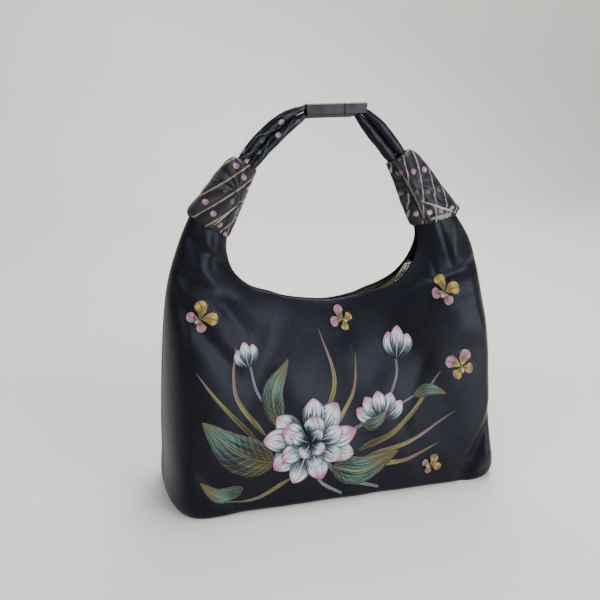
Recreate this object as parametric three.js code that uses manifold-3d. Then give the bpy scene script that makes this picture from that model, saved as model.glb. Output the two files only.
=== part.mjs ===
// A small silk shoulder bag: a soft satin shell that stands on its flat base, with a curved zipped
// mouth between two necks, a wound cloth knot round each neck, and a handle of paired rolled satin
// tubes that meet in two metal sleeves. Millimetres, +Z up, the front faces -Y.
// The origin is the centre of the base, on the surface that the bag stands on.
import * as THREE from 'three';
import * as BufferGeometryUtils from 'three/addons/utils/BufferGeometryUtils.js';
import Module from 'manifold-3d';

const wasm = await Module();
wasm.setup();

// Body
const BODY_WIDTH = 266; // over the sides, where they are widest
const BODY_DEPTH = 95; // front to back at the base
const WALL = 2; // satin with its padding
const LIP_LOW = 147; // lowest point of the lip above the base
const NECK_HEIGHT = 216; // top of a neck's outer side, where the knot begins
const NECK_WIDTH_LEFT = 26; // across the left neck, seen from the front
const NECK_WIDTH_RIGHT = 31;
const NECK_DEPTH = 22; // across a neck, seen from the side
const NECK_TUCK = 11; // how far a neck runs up inside its knot
const NECK_TAPER = 0.9; // size of the tucked end against the neck
const MOUTH_WIDTH = 148; // between the necks
const MOUTH_OFFSET = -9; // the mouth's middle, to the left of the base's middle
const MOUTH_GAP = 16; // between the front lip and the back lip
const SLIT_CLEARANCE = 0.5; // half of the slit that is left between the lips at a neck
const SHOULDER = 0.8; // how soon the walls swell out under the lip, 1 is a plain sine
const FOLD_WIDTH = 11; // of the broadest fold in the walls
const FOLD_HEIGHT = 3.5; // of the highest fold in the walls
const FOLD_RUN_OUT = 0.18; // a fold fades past its ends over this share of its length
const FOLD_START = 0.2; // the folds reach their full height at this place below the lip

// Knots
const KNOT_WIDTH_LEFT = 38;
const KNOT_WIDTH_RIGHT = 42;
const KNOT_DEPTH = 29;
const KNOT_LENGTH_LEFT = 53;
const KNOT_LENGTH_RIGHT = 57;
const KNOT_ANGLE_LEFT = 57; // of the knot's axis above the horizontal, in degrees
const KNOT_ANGLE_RIGHT = 120;
const KNOT_SLANT_RIGHT = 0.3; // the right knot's foot drops this much for each step outwards
const KNOT_OVERLAP = 1; // the knot's rim reaches this far down over the neck
const PLEAT_HEIGHT = 0.9;
const PLEATS = 11; // round the knot's button, on the front and on the back
const SOCKET_CLEARANCE = 0.8; // between a neck and its knot
const SOCKET_END = 2.5; // between a neck's tucked end and the top of its hollow
const SOCKET_FLARE = 2.4; // how much the hollow widens down to the knot's foot

// Handle
const CORD_RADIUS = 4;
const CORD_PINCH = 0.72; // the tubes' size at a sleeve's mouth
const CORD_CRIMP = 0.5; // the tubes' size inside a sleeve
const CORD_GAP = 0.4; // between the two tubes of a pair
const CORD_INSET = 2; // the pair leaves a knot this far inwards of the knot's axis
const CORD_DROP_RIGHT = 1.4; // the right pair meets its sleeve this far below the sleeve's middle
const CORD_TUCK = 9; // how far a pair runs down inside its knot
const CORD_CRIMPED = 5; // how far a pair runs into its sleeve
const LEAVE_LEFT = 50; // degrees above the horizontal at which the left pair leaves its knot
const ARRIVE_LEFT = 20; // and meets its sleeve
const LEAVE_RIGHT = 128;
const ARRIVE_RIGHT = 141;
const CORD_CLEARANCE = 0.35; // round a tube, in its knot and in its sleeve
const HANDLE_TOP = 292.8; // along the leaning handle, above the base
const HANDLE_LEAN = 7; // degrees, to the back
const LEAN_BELOW = 18; // the lean starts this far below the tops of the necks
const SLEEVE_HEIGHT = 10.4;
const SLEEVE_DEPTH = 9;
const SLEEVE_LONG = 28.6;
const SLEEVE_SHORT = 17.6;
const SLEEVE_START = -20.4; // left end of the long sleeve
const SLEEVE_SEAM = 0.3; // between the two sleeves
const SLEEVE_MITRE = 12.4; // how far the short sleeve's underside is cut back

// Zip
const TAPE_THICK = 1;
const TAPE_CLEARANCE = 0.35; // between a tape and the wall that it is sewn to, and the chain
const CHAIN_WIDTH = 5;
const CHAIN_THICK = 1.8;
const SLIDER_LENGTH = 9;
const SLIDER_WIDTH = 7;
const SLIDER_HEIGHT = 2.6;
const SLIDER_BRIDGE = 2.2; // height of the loop on the slider
const BRIDGE_LENGTH = 5.4;
const BRIDGE_WIDTH = 2.5;
const SLIDER_CLEARANCE = 0.3;
const SLIDER_INSET = 6; // from the chain's right end to the slider

const LEAN_FROM = NECK_HEIGHT - LEAN_BELOW;

const radians = THREE.MathUtils.degToRad;
const mix = THREE.MathUtils.lerp;
const clamp = THREE.MathUtils.clamp;

// The body is a fan of sections from the left neck, down round the base and up to the right neck.
// A section leaves the lip, swells to its edge and closes round the side or the base.
// lipAcross is a share of half the mouth, lipUp of the rise from the lip's low point to the necks,
// edgeAcross and outAcross of half the body, edgeUp and outUp of the neck's height, depth of half
// the body's depth. neck draws the section in to the neck, gap is a share of half the mouth's gap,
// and square is 2 for a round side and more for a boxed one.
const SECTION_COLUMNS = [
  'lipAcross', 'lipUp', 'edgeAcross', 'edgeUp', 'outAcross', 'outUp', 'depth', 'neck', 'gap', 'square',
];
const SECTIONS = [
  [-0.987, 0.81, -0.73, 0.97, -0.83, 1.0, 0.24, 1, 0, 2],
  [-1.0, 0.62, -0.82, 0.895, -0.985, 0.885, 0.35, 0.5, 0, 2],
  [-0.935, 0.4, -0.86, 0.765, -0.99, 0.74, 0.46, 0.15, 0.1, 2],
  [-0.77, 0.22, -0.87, 0.56, -1.0, 0.51, 0.72, 0, 0.2, 2.1],
  [-0.555, 0.13, -0.87, 0.25, -1.02, 0.185, 0.93, 0, 0.15, 2.4],
  [-0.42, 0.075, -0.85, 0.05, -0.99, 0, 1, 0, 0.05, 3],
  [-0.22, 0.03, -0.57, 0.07, -0.6, -0.006, 1, 0, 0, 8],
  [0.04, 0, -0.07, 0.07, -0.08, -0.006, 1, 0, 0.05, 8],
  [0.31, 0.03, 0.43, 0.07, 0.45, -0.006, 1, 0, 0.3, 8],
  [0.47, 0.075, 0.79, 0.05, 0.895, 0, 1, 0, 0.65, 4],
  [0.635, 0.12, 0.82, 0.24, 0.93, 0.185, 0.93, 0, 1, 2.4],
  [0.797, 0.21, 0.81, 0.56, 0.92, 0.51, 0.72, 0, 1, 2.1],
  [0.93, 0.37, 0.77, 0.765, 0.905, 0.74, 0.46, 0.15, 0.8, 2],
  [1.0, 0.6, 0.7, 0.87, 0.93, 0.86, 0.35, 0.5, 0.2, 2],
  [0.98, 0.78, 0.6, 0.95, 0.68, 0.965, 0.24, 1, 0, 2],
];

// Folds in the walls: side is -1 on the front and 1 on the back, the ends are shares of half the
// body's width and of the neck's height, width and height are shares of the largest fold, and a
// height below 0 is a dent.
const FOLD_COLUMNS = ['side', 'fromAcross', 'fromUp', 'toAcross', 'toUp', 'width', 'height'];
const FOLDS = [
  [-1, -0.74, 0.93, -0.86, 0.66, 0.55, -0.7],
  [-1, -0.63, 0.86, -0.62, 0.6, 0.8, 0.7],
  [-1, -0.9, 0.7, -0.62, 0.44, 0.9, -0.9],
  [-1, -0.55, 0.62, -0.05, 0.2, 1, 0.6],
  [-1, 0.2, 0.52, -0.3, 0.3, 0.9, -0.5],
  [-1, 0.56, 0.88, 0.62, 0.6, 0.6, 0.8],
  [-1, 0.5, 0.72, 0.82, 0.5, 0.7, -0.8],
  [-1, 0.86, 0.22, 0.72, 0.03, 0.6, -0.8],
  [1, -0.66, 0.9, -0.7, 0.55, 0.7, 0.7],
  [1, -0.5, 0.6, -0.85, 0.3, 0.9, -0.8],
  [1, 0.5, 0.86, 0.6, 0.55, 0.7, 0.7],
  [1, 0.45, 0.6, 0.85, 0.34, 0.9, -0.8],
  [1, -0.2, 0.5, 0.3, 0.16, 1, 0.5],
];

// Places along a section: 0 at the lip, 1 at the edge, 2 on the centre line of the side or base.
const WALL_STEPS = [0, 0.04, 0.11, 0.21, 0.33, 0.46, 0.6, 0.73, 0.87, 1, 1.22, 1.42, 1.6, 1.8, 2];
const TAPE_STEP = 1; // the tapes are sewn on at this place in WALL_STEPS
const COLUMNS_PER_SECTION = 3;
const ZIP_FROM = 3; // the zip ends this many sections short of each tucked end

// A knot's half widths and half depths along its axis, as shares of its named sizes.
const KNOT_COLUMNS = ['along', 'outside', 'inside', 'depth'];
const KNOT_ROWS = [
  [0, 0.84, 0.84, 0.74],
  [0.035, 0.96, 0.9, 0.88],
  [0.1, 0.97, 0.9, 0.95],
  [0.22, 0.91, 0.87, 1],
  [0.36, 0.85, 0.82, 1.02],
  [0.5, 0.79, 0.76, 1],
  [0.64, 0.75, 0.7, 0.94],
  [0.77, 0.69, 0.64, 0.84],
  [0.88, 0.6, 0.59, 0.72],
  [0.96, 0.46, 0.48, 0.56],
  [1, 0.32, 0.34, 0.4],
];
const KNOT_SIDES = 28;
const HOLLOW_START = 1.5 * KNOT_OVERLAP; // where the cut for the hollow begins, below the neck's line
const HOLLOW_ROUND = 0.6; // 1 for a round hollow, less for a boxed one
const BUTTON_ALONG = 0.6; // the button that the pleats run out from, as a share of the knot's length
const BUTTON_SHARE = 0.35; // the plain button's radius, as a share of half the knot's width

// Names a table's rows by its columns.
function named(columns, rows) {
  return rows.map((row) => Object.fromEntries(columns.map((column, i) => [column, row[i]])));
}

// The direction in the bag's upright plane at an angle above the horizontal, in degrees.
function directionAt(angle) {
  return new THREE.Vector3(Math.cos(radians(angle)), 0, Math.sin(radians(angle)));
}

// Smooth value through a list at a fractional place, by the Catmull-Rom formula.
function smooth(list, place) {
  const last = list.length - 1;
  const at = clamp(Math.floor(place), 0, last - 1);
  const t = place - at;
  const b = list[at];
  const c = list[at + 1];
  const a = at > 0 ? list[at - 1] : 2 * b - c;
  const d = at + 2 <= last ? list[at + 2] : 2 * c - b;
  return b + 0.5 * t * (c - a + t * (2 * a - 5 * b + 4 * c - d + t * (3 * (b - c) + d - a)));
}

// Turns a section's shares into places in millimetres.
function sizedSection(row) {
  const side = Math.sign(row.outAcross);
  const neckWidth = side < 0 ? NECK_WIDTH_LEFT : NECK_WIDTH_RIGHT;
  const neckOut = MOUTH_OFFSET + side * (MOUTH_WIDTH / 2 + neckWidth);
  const lipX = MOUTH_OFFSET + row.lipAcross * MOUTH_WIDTH / 2;
  return {
    lipX,
    lipZ: mix(LIP_LOW, NECK_HEIGHT, row.lipUp),
    edgeX: mix(row.edgeAcross * BODY_WIDTH / 2, mix(lipX, neckOut, 0.5), row.neck),
    edgeZ: row.edgeUp * NECK_HEIGHT,
    outX: mix(row.outAcross * BODY_WIDTH / 2, neckOut, row.neck),
    outZ: row.outUp * NECK_HEIGHT,
    depth: mix(row.depth * BODY_DEPTH / 2, NECK_DEPTH / 2, row.neck),
    gap: mix(WALL + SLIT_CLEARANCE, MOUTH_GAP / 2, row.gap),
    square: row.square,
  };
}

// The tucked end of a neck: its section carried up along the knot's axis and drawn in.
function tuckedSection(section, axis) {
  const middleX = (section.lipX + section.outX) / 2;
  const middleZ = (section.lipZ + section.outZ) / 2;
  const end = { ...section, depth: section.depth * NECK_TAPER };
  for (const place of ['lip', 'edge', 'out']) {
    end[place + 'X'] = middleX + (section[place + 'X'] - middleX) * NECK_TAPER + axis.x * NECK_TUCK;
    end[place + 'Z'] = middleZ + (section[place + 'Z'] - middleZ) * NECK_TAPER + axis.z * NECK_TUCK;
  }
  return end;
}

const axisLeft = directionAt(KNOT_ANGLE_LEFT);
const axisRight = directionAt(KNOT_ANGLE_RIGHT);
const plainSections = named(SECTION_COLUMNS, SECTIONS).map(sizedSection);
const neckLeft = plainSections[0];
const neckRight = plainSections[plainSections.length - 1];
const sections = [tuckedSection(neckLeft, axisLeft), ...plainSections, tuckedSection(neckRight, axisRight)];
const folds = named(FOLD_COLUMNS, FOLDS);

// The section at a fractional place in the fan.
function sectionAt(place) {
  const valueOf = (key) => smooth(sections.map((section) => section[key]), place);
  return Object.fromEntries(Object.keys(sections[0]).map((key) => [key, valueOf(key)]));
}

// Height of the folds over the plain wall at a point of the front (-1) or the back (1).
function foldHeight(side, x, z) {
  let height = 0;
  for (const fold of folds.filter((row) => row.side === side)) {
    const from = new THREE.Vector2(fold.fromAcross * BODY_WIDTH / 2, fold.fromUp * NECK_HEIGHT);
    const along = new THREE.Vector2(fold.toAcross * BODY_WIDTH / 2, fold.toUp * NECK_HEIGHT).sub(from);
    const point = new THREE.Vector2(x, z).sub(from);
    const share = point.dot(along) / along.lengthSq();
    const away = Math.abs(point.cross(along)) / along.length() / (fold.width * FOLD_WIDTH);
    const past = Math.max(0, Math.abs(share - 0.5) - 0.5) / FOLD_RUN_OUT;
    height += fold.height * FOLD_HEIGHT * Math.exp(-away * away - past * past);
  }
  return height;
}

// How far the necks and the handle lean back at a height.
function leanBack(z) {
  return Math.max(0, z - LEAN_FROM) * Math.tan(radians(HANDLE_LEAN));
}

// A point of the body's outside: step is a place along the section, side is -1 or 1.
function wallPoint(section, step, side) {
  const angle = Math.max(0, step - 1) * Math.PI / 2;
  const power = 2 / section.square;
  const swell = step <= 1 ? Math.sin(Math.PI / 2 * step ** SHOULDER) : Math.cos(angle) ** power;
  const out = step <= 1 ? 0 : Math.sin(angle) ** power;
  const down = Math.min(1, step);
  const x = mix(mix(section.lipX, section.edgeX, down), section.outX, out);
  const z = mix(mix(section.lipZ, section.edgeZ, down), section.outZ, out);
  const half = step <= 1 ? mix(section.gap, section.depth, swell) : section.depth * swell;
  const fade = Math.min(1, half / section.depth) * Math.min(1, step / FOLD_START);
  const y = step === 2 ? 0 : side * (half + foldHeight(side, x, z) * fade);
  return new THREE.Vector3(x, y + leanBack(z), Math.max(0, z));
}

// A grid of the body's outside, a column for each place in the fan, from the front lip to the back.
function bodyGrid() {
  const columns = [];
  const count = (sections.length - 1) * COLUMNS_PER_SECTION;
  for (let i = 0; i <= count; i++) {
    const section = sectionAt(i / COLUMNS_PER_SECTION);
    const front = WALL_STEPS.map((step) => wallPoint(section, step, -1));
    const back = WALL_STEPS.slice(0, -1).reverse().map((step) => wallPoint(section, step, 1));
    columns.push([...front, ...back]);
  }
  return columns;
}

// The inside of a grid: every point moved inwards, square to the surface there.
function insideOf(grid, distance) {
  const lastColumn = grid.length - 1;
  const lastRow = grid[0].length - 1;
  return grid.map((column, i) => column.map((point, j) => {
    const alongFan = grid[Math.min(i + 1, lastColumn)][j].clone().sub(grid[Math.max(i - 1, 0)][j]);
    const alongWall = grid[i][Math.min(j + 1, lastRow)].clone().sub(grid[i][Math.max(j - 1, 0)]);
    const outward = alongWall.cross(alongFan).normalize();
    return point.clone().addScaledVector(outward, -distance);
  }));
}

// Joins rows of points into a closed solid, whichever way round they run. Each row is a closed
// ring, and the two end rings are closed by fans round their middles.
function ringSolid(rings) {
  const sides = rings[0].length;
  const points = rings.flat();
  const faces = [];
  for (let i = 0; i + 1 < rings.length; i++) {
    for (let j = 0; j < sides; j++) {
      const a = i * sides + j;
      const b = i * sides + (j + 1) % sides;
      faces.push(a, b, a + sides, b, b + sides, a + sides);
    }
  }
  const lastRing = (rings.length - 1) * sides;
  const start = points.length;
  points.push(middleOf(rings[0]), middleOf(rings[rings.length - 1]));
  for (let j = 0; j < sides; j++) {
    const next = (j + 1) % sides;
    faces.push(start, next, j, start + 1, lastRing + j, lastRing + next);
  }
  return geometryOf(points, signedVolume(points, faces) < 0 ? faces.reverse() : faces);
}

// Volume inside a closed set of triangles, below 0 when they face inwards.
function signedVolume(points, faces) {
  let volume = 0;
  for (let i = 0; i < faces.length; i += 3) {
    volume += points[faces[i]].dot(points[faces[i + 1]].clone().cross(points[faces[i + 2]])) / 6;
  }
  return volume;
}

function middleOf(ring) {
  return ring.reduce((sum, point) => sum.add(point), new THREE.Vector3()).divideScalar(ring.length);
}

function geometryOf(points, faces) {
  const geometry = new THREE.BufferGeometry().setFromPoints(points);
  geometry.setIndex(faces);
  geometry.computeVertexNormals();
  return geometry;
}

// The body's shell: the outside grid, the inside grid and a strip round their common border.
function bodyGeometry(outside, inside) {
  const rows = outside[0].length;
  const columns = outside.length;
  const points = [...outside.flat(), ...inside.flat()];
  const faces = [];
  const at = (i, j, layer) => layer * rows * columns + i * rows + j;
  const quad = (a, b, c, d) => faces.push(a, c, b, a, d, c);
  for (let i = 0; i + 1 < columns; i++) {
    for (let j = 0; j + 1 < rows; j++) {
      quad(at(i, j, 0), at(i + 1, j, 0), at(i + 1, j + 1, 0), at(i, j + 1, 0));
      quad(at(i, j, 1), at(i, j + 1, 1), at(i + 1, j + 1, 1), at(i + 1, j, 1));
    }
    quad(at(i, 0, 0), at(i, 0, 1), at(i + 1, 0, 1), at(i + 1, 0, 0));
    quad(at(i, rows - 1, 0), at(i + 1, rows - 1, 0), at(i + 1, rows - 1, 1), at(i, rows - 1, 1));
  }
  for (let j = 0; j + 1 < rows; j++) {
    quad(at(0, j, 0), at(0, j + 1, 0), at(0, j + 1, 1), at(0, j, 1));
    quad(at(columns - 1, j, 0), at(columns - 1, j, 1), at(columns - 1, j + 1, 1), at(columns - 1, j + 1, 0));
  }
  return geometryOf(points, faces);
}

// Turns a closed geometry into a solid that can be cut, and back.
function solidOf(geometry) {
  const plain = geometry.clone();
  plain.deleteAttribute('normal');
  plain.deleteAttribute('uv');
  const merged = BufferGeometryUtils.mergeVertices(plain, 1e-4);
  const mesh = new wasm.Mesh({
    numProp: 3,
    vertProperties: Float32Array.from(merged.attributes.position.array),
    triVerts: Uint32Array.from(merged.index.array),
  });
  return new wasm.Manifold(mesh);
}

function geometryFrom(solid) {
  const mesh = solid.getMesh();
  const geometry = new THREE.BufferGeometry();
  geometry.setAttribute('position', new THREE.BufferAttribute(Float32Array.from(mesh.vertProperties), 3));
  geometry.setIndex(new THREE.BufferAttribute(Uint32Array.from(mesh.triVerts), 1));
  geometry.computeVertexNormals();
  return geometry;
}

function cutFrom(geometry, cutters) {
  let solid = solidOf(geometry);
  for (const cutter of cutters) {
    solid = solid.subtract(solidOf(cutter));
  }
  return geometryFrom(solid);
}

// The handle is made in an upright plane, y = 0, and leans back afterwards as one group.
// A knot's frame: its foot on the neck, its axis, the direction to its outside edge, and its sizes:
// its length, its width and how much its foot slants down outwards.
function knotFrame(neck, axis, sizes, side) {
  const foot = new THREE.Vector3((neck.lipX + neck.outX) / 2, 0, (neck.lipZ + neck.outZ) / 2);
  const outside = new THREE.Vector3(axis.z * side, 0, -axis.x * side);
  foot.addScaledVector(axis, -KNOT_OVERLAP);
  return { ...sizes, foot, axis, outside, top: foot.clone().addScaledVector(axis, sizes.length) };
}

// Pleats that run out from the button over the knot's front and back, highest between the button
// and the rim.
function pleatHeight(across, along, depthShare, width) {
  const angle = Math.atan2(along, across);
  const reach = Math.hypot(across, along) / (width / 2);
  const away = clamp((reach - BUTTON_SHARE) / BUTTON_SHARE, 0, 1);
  return PLEAT_HEIGHT * Math.cos(PLEATS * angle) * away * Math.abs(depthShare);
}

function knotGeometry(frame) {
  const rings = named(KNOT_COLUMNS, KNOT_ROWS).map((row) => {
    const ring = [];
    for (let j = 0; j < KNOT_SIDES; j++) {
      const angle = j / KNOT_SIDES * Math.PI * 2;
      const widthShare = Math.cos(angle) > 0 ? row.outside : row.inside;
      const across = Math.cos(angle) * widthShare * frame.width / 2;
      const depth = Math.sin(angle) * row.depth * KNOT_DEPTH / 2;
      const along = row.along * frame.length - frame.slant * across * (1 - row.along);
      const pleat = pleatHeight(across, along - BUTTON_ALONG * frame.length, Math.sin(angle), frame.width);
      const point = frame.foot.clone().addScaledVector(frame.outside, across);
      point.addScaledVector(frame.axis, along);
      point.y = depth + Math.sign(depth) * pleat;
      ring.push(point);
    }
    return ring;
  });
  return ringSolid(rings);
}

// The hollow that a neck fills inside its knot: a boxed round a little larger than the neck.
function neckHollow(neck, frame) {
  const across = new THREE.Vector3(neck.outX - neck.lipX, 0, neck.outZ - neck.lipZ);
  const half = Math.abs(across.dot(frame.outside)) / 2 + SOCKET_CLEARANCE;
  const deep = neck.depth + SOCKET_CLEARANCE;
  const middle = frame.foot.clone().addScaledVector(frame.axis, KNOT_OVERLAP);
  const end = (1 + NECK_TAPER) / 2;
  const rings = [[-HOLLOW_START, 1 + SOCKET_FLARE / half], [0, 1], [NECK_TUCK + SOCKET_END, end]];
  return ringSolid(rings.map(([along, size]) => {
    const ring = [];
    for (let j = 0; j < KNOT_SIDES; j++) {
      const angle = j / KNOT_SIDES * Math.PI * 2;
      const across = Math.sign(Math.cos(angle)) * Math.abs(Math.cos(angle)) ** HOLLOW_ROUND * half * size;
      const point = middle.clone().addScaledVector(frame.outside, across);
      point.addScaledVector(frame.axis, along - frame.slant * across);
      point.y = Math.sign(Math.sin(angle)) * Math.abs(Math.sin(angle)) ** HOLLOW_ROUND * deep * size;
      ring.push(point);
    }
    return ring;
  }));
}

const SLEEVE_MIDDLE = HANDLE_TOP - SLEEVE_HEIGHT / 2;
const SLEEVE_END = SLEEVE_START + SLEEVE_LONG + SLEEVE_SEAM + SLEEVE_SHORT;

// The line that a pair of tubes follows, from inside the knot to inside the sleeve: a smooth bow,
// then a straight crimped end. The two angles are those of the bow's ends above the horizontal.
function pairLine(frame, mouth, leaveAngle, arriveAngle) {
  const leave = directionAt(leaveAngle);
  const arrive = directionAt(arriveAngle);
  const top = frame.top.clone().addScaledVector(frame.outside, -CORD_INSET);
  const bow = top.distanceTo(mouth) * CORD_BOW;
  const before = mouth.clone().addScaledVector(arrive, -bow);
  const after = top.clone().addScaledVector(leave, bow);
  const curve = new THREE.CubicBezierCurve3(top, after, before, mouth);
  const end = new THREE.Vector3(mouth.x + Math.sign(arrive.x) * CORD_CRIMPED, 0, SLEEVE_MIDDLE);
  return { start: top.clone().addScaledVector(frame.axis, -CORD_TUCK), curve, mouth, end };
}

// Stations of a tube: place 0 is inside the knot, 1 at the knot's top, 2 at the sleeve's mouth and
// 3 inside the sleeve; size is a share of the tube's radius.
const CORD_COLUMNS = ['place', 'size'];
const CORD_STATIONS = [
  [0, 0.78], [0.5, 0.82], [1, 0.9], [1.08, 0.97], [1.16, 1], [1.26, 1], [1.36, 1], [1.46, 1],
  [1.56, 1], [1.66, 0.95], [1.75, 0.88], [1.83, 0.8], [1.9, CORD_PINCH], [1.98, 0.57],
  [2.35, CORD_CRIMP], [3, CORD_CRIMP],
];
const CORD_SIDES = 12;
const LAST_PLACE = 3;
const NUDGE = 0.01; // step along the line that gives its direction
const CORD_BOW = 0.32; // reach of the bow's two handles, as a share of the pair's span

function pairPoint(line, place) {
  if (place <= 1) {
    return line.start.clone().lerp(line.curve.getPoint(0), place);
  }
  return place <= 2 ? line.curve.getPoint(place - 1) : line.mouth.clone().lerp(line.end, place - 2);
}

// One tube of a pair. way is 1 for the outer tube and -1 for the inner one, and extra makes the
// hollow that the tube fills in the knot and in the sleeve.
function cordGeometry(line, way, extra) {
  const rings = named(CORD_COLUMNS, CORD_STATIONS).map(({ place, size }, i, all) => {
    const before = pairPoint(line, Math.max(0, place - NUDGE));
    const after = pairPoint(line, Math.min(LAST_PLACE, place + NUDGE));
    const along = after.sub(before).normalize();
    const up = new THREE.Vector3(-along.z, 0, along.x).multiplyScalar(Math.sign(along.x));
    const radius = CORD_RADIUS * size;
    const centre = pairPoint(line, place).addScaledVector(up, way * (radius + CORD_GAP / 2));
    const endWay = (i === all.length - 1) - (i === 0);
    centre.addScaledVector(along, endWay * extra);
    return ringAround(centre, up, new THREE.Vector3(0, 1, 0), radius + extra);
  });
  return ringSolid(rings);
}

function ringAround(centre, first, second, radius) {
  const ring = [];
  for (let j = 0; j < CORD_SIDES; j++) {
    const angle = j / CORD_SIDES * Math.PI * 2;
    const point = centre.clone().addScaledVector(first, Math.cos(angle) * radius);
    ring.push(point.addScaledVector(second, Math.sin(angle) * radius));
  }
  return ring;
}

// A sleeve's section, as shares of half its depth and half its height: a flat top, a small bevel,
// an upright face and a shallow roof-like underside.
const SLEEVE_OUTLINE = [
  [0.6, 1], [1, 0.8], [1, -0.54], [0, -1], [-1, -0.54], [-1, 0.8], [-0.6, 1],
];

const MITRE_HOOK = 9; // 1 cuts the end back evenly, more keeps the upright face long

// A sleeve from left to right, its right end cut back below by the mitre.
function sleeveGeometry(left, right, mitre) {
  const ring = (end, cut) => SLEEVE_OUTLINE.map(([deep, high]) => {
    const back = cut * ((1 - high) / 2) ** MITRE_HOOK;
    return new THREE.Vector3(end - back, deep * SLEEVE_DEPTH / 2, SLEEVE_MIDDLE + high * SLEEVE_HEIGHT / 2);
  });
  return ringSolid([ring(left, 0), ring(right, mitre)]);
}

// The zip lies between the lips. Its corners follow the inside of the walls at the sewing line.
function zipStrips(inside) {
  const rows = inside[0].length;
  const first = ZIP_FROM * COLUMNS_PER_SECTION;
  const last = (sections.length - 1 - ZIP_FROM) * COLUMNS_PER_SECTION;
  const strips = { front: [], back: [], chain: [] };
  const half = CHAIN_WIDTH / 2;
  for (let i = first; i <= last; i++) {
    for (const [name, side, row] of [['front', -1, TAPE_STEP], ['back', 1, rows - 1 - TAPE_STEP]]) {
      const sewn = inside[i][row];
      const deeper = inside[i][row - side].clone().sub(sewn).normalize();
      const low = sewn.clone().addScaledVector(deeper, TAPE_THICK);
      const shift = new THREE.Vector3(0, -side * TAPE_CLEARANCE, 0);
      const free = side * (half + TAPE_CLEARANCE);
      const wallSide = [sewn.clone().add(shift), low.clone().add(shift)];
      strips[name].push([...wallSide, low.clone().setY(free), sewn.clone().setY(free)]);
    }
    const [, , bottom, top] = strips.front[strips.front.length - 1];
    const middle = top.clone().lerp(bottom, 0.5);
    const down = bottom.clone().sub(top).normalize();
    strips.chain.push([[-half, 1], [half, 1], [half, -1], [-half, -1]].map(([y, way]) =>
      middle.clone().addScaledVector(down, way * CHAIN_THICK / 2).setY(y)));
  }
  return strips;
}

// The slider: a plate with a loop on top, pointed where the teeth part.
function sliderGeometry() {
  const plate = new THREE.Shape();
  plate.moveTo(-SLIDER_LENGTH / 2, -SLIDER_WIDTH / 3);
  plate.lineTo(SLIDER_LENGTH / 4, -SLIDER_WIDTH / 2);
  plate.lineTo(SLIDER_LENGTH / 2, -SLIDER_WIDTH / 4);
  plate.lineTo(SLIDER_LENGTH / 2, SLIDER_WIDTH / 4);
  plate.lineTo(SLIDER_LENGTH / 4, SLIDER_WIDTH / 2);
  plate.lineTo(-SLIDER_LENGTH / 2, SLIDER_WIDTH / 3);
  const base = new THREE.ExtrudeGeometry(plate, { depth: SLIDER_HEIGHT, bevelEnabled: false });
  const loop = new THREE.BoxGeometry(BRIDGE_LENGTH, BRIDGE_WIDTH, SLIDER_BRIDGE * 2);
  loop.translate(0, 0, SLIDER_HEIGHT);
  return geometryFrom(solidOf(base).add(solidOf(loop)));
}

function satin(colour) {
  return new THREE.MeshStandardMaterial({ color: colour, roughness: 0.42, metalness: 0 });
}

function metal(colour) {
  return new THREE.MeshStandardMaterial({ color: colour, roughness: 0.35, metalness: 0.9 });
}

function piece(name, geometry, material) {
  const mesh = new THREE.Mesh(geometry, material);
  mesh.name = name;
  return mesh;
}

const bag = new THREE.Group();
const outside = bodyGrid();
const inside = insideOf(outside, WALL);
bag.add(piece('bag_body', bodyGeometry(outside, inside), satin(0x0e0e15)));

const strips = zipStrips(inside);
bag.add(piece('zip_tape_front', ringSolid(strips.front), satin(0x101014)));
bag.add(piece('zip_tape_back', ringSolid(strips.back), satin(0x101014)));
bag.add(piece('zip_chain', ringSolid(strips.chain), metal(0xb8b4aa)));

const slider = piece('zip_slider', sliderGeometry(), metal(0xc4c0b6));
const chainEnd = strips.chain[strips.chain.length - 1];
const chainBefore = strips.chain[strips.chain.length - 3];
const chainTop = chainEnd[2].clone().lerp(chainEnd[3], 0.5);
const chainAlong = chainTop.clone().sub(chainBefore[2].clone().lerp(chainBefore[3], 0.5)).normalize();
const chainUp = new THREE.Vector3(-chainAlong.z, 0, chainAlong.x);
slider.position.copy(chainTop).addScaledVector(chainAlong, -SLIDER_INSET);
slider.position.addScaledVector(chainUp, SLIDER_CLEARANCE);
slider.rotation.y = -Math.atan2(chainAlong.z, chainAlong.x);
bag.add(slider);

const handle = new THREE.Group();
handle.position.z = LEAN_FROM;
handle.rotation.x = -radians(HANDLE_LEAN);
const upright = new THREE.Group();
upright.position.z = -LEAN_FROM;
handle.add(upright);
bag.add(handle);

const sizesLeft = { length: KNOT_LENGTH_LEFT, width: KNOT_WIDTH_LEFT, slant: 0 };
const sizesRight = { length: KNOT_LENGTH_RIGHT, width: KNOT_WIDTH_RIGHT, slant: KNOT_SLANT_RIGHT };
const left = knotFrame(neckLeft, axisLeft, sizesLeft, -1);
const right = knotFrame(neckRight, axisRight, sizesRight, 1);
const mouthLeft = new THREE.Vector3(SLEEVE_START, 0, SLEEVE_MIDDLE);
const mitreMiddle = SLEEVE_END - SLEEVE_MITRE / 2;
const mouthRight = new THREE.Vector3(mitreMiddle, 0, SLEEVE_MIDDLE - CORD_DROP_RIGHT);
const lineLeft = pairLine(left, mouthLeft, LEAVE_LEFT, ARRIVE_LEFT);
const lineRight = pairLine(right, mouthRight, LEAVE_RIGHT, ARRIVE_RIGHT);
const cuts = { left: [], right: [] };
for (const [side, line] of [['left', lineLeft], ['right', lineRight]]) {
  for (const [tube, way] of [['outer', 1], ['inner', -1]]) {
    upright.add(piece(`cord_${side}_${tube}`, cordGeometry(line, way, 0), satin(0x0c0c12)));
    cuts[side].push(cordGeometry(line, way, CORD_CLEARANCE));
  }
}
const knotLeft = cutFrom(knotGeometry(left), [neckHollow(neckLeft, left), ...cuts.left]);
const knotRight = cutFrom(knotGeometry(right), [neckHollow(neckRight, right), ...cuts.right]);
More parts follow.
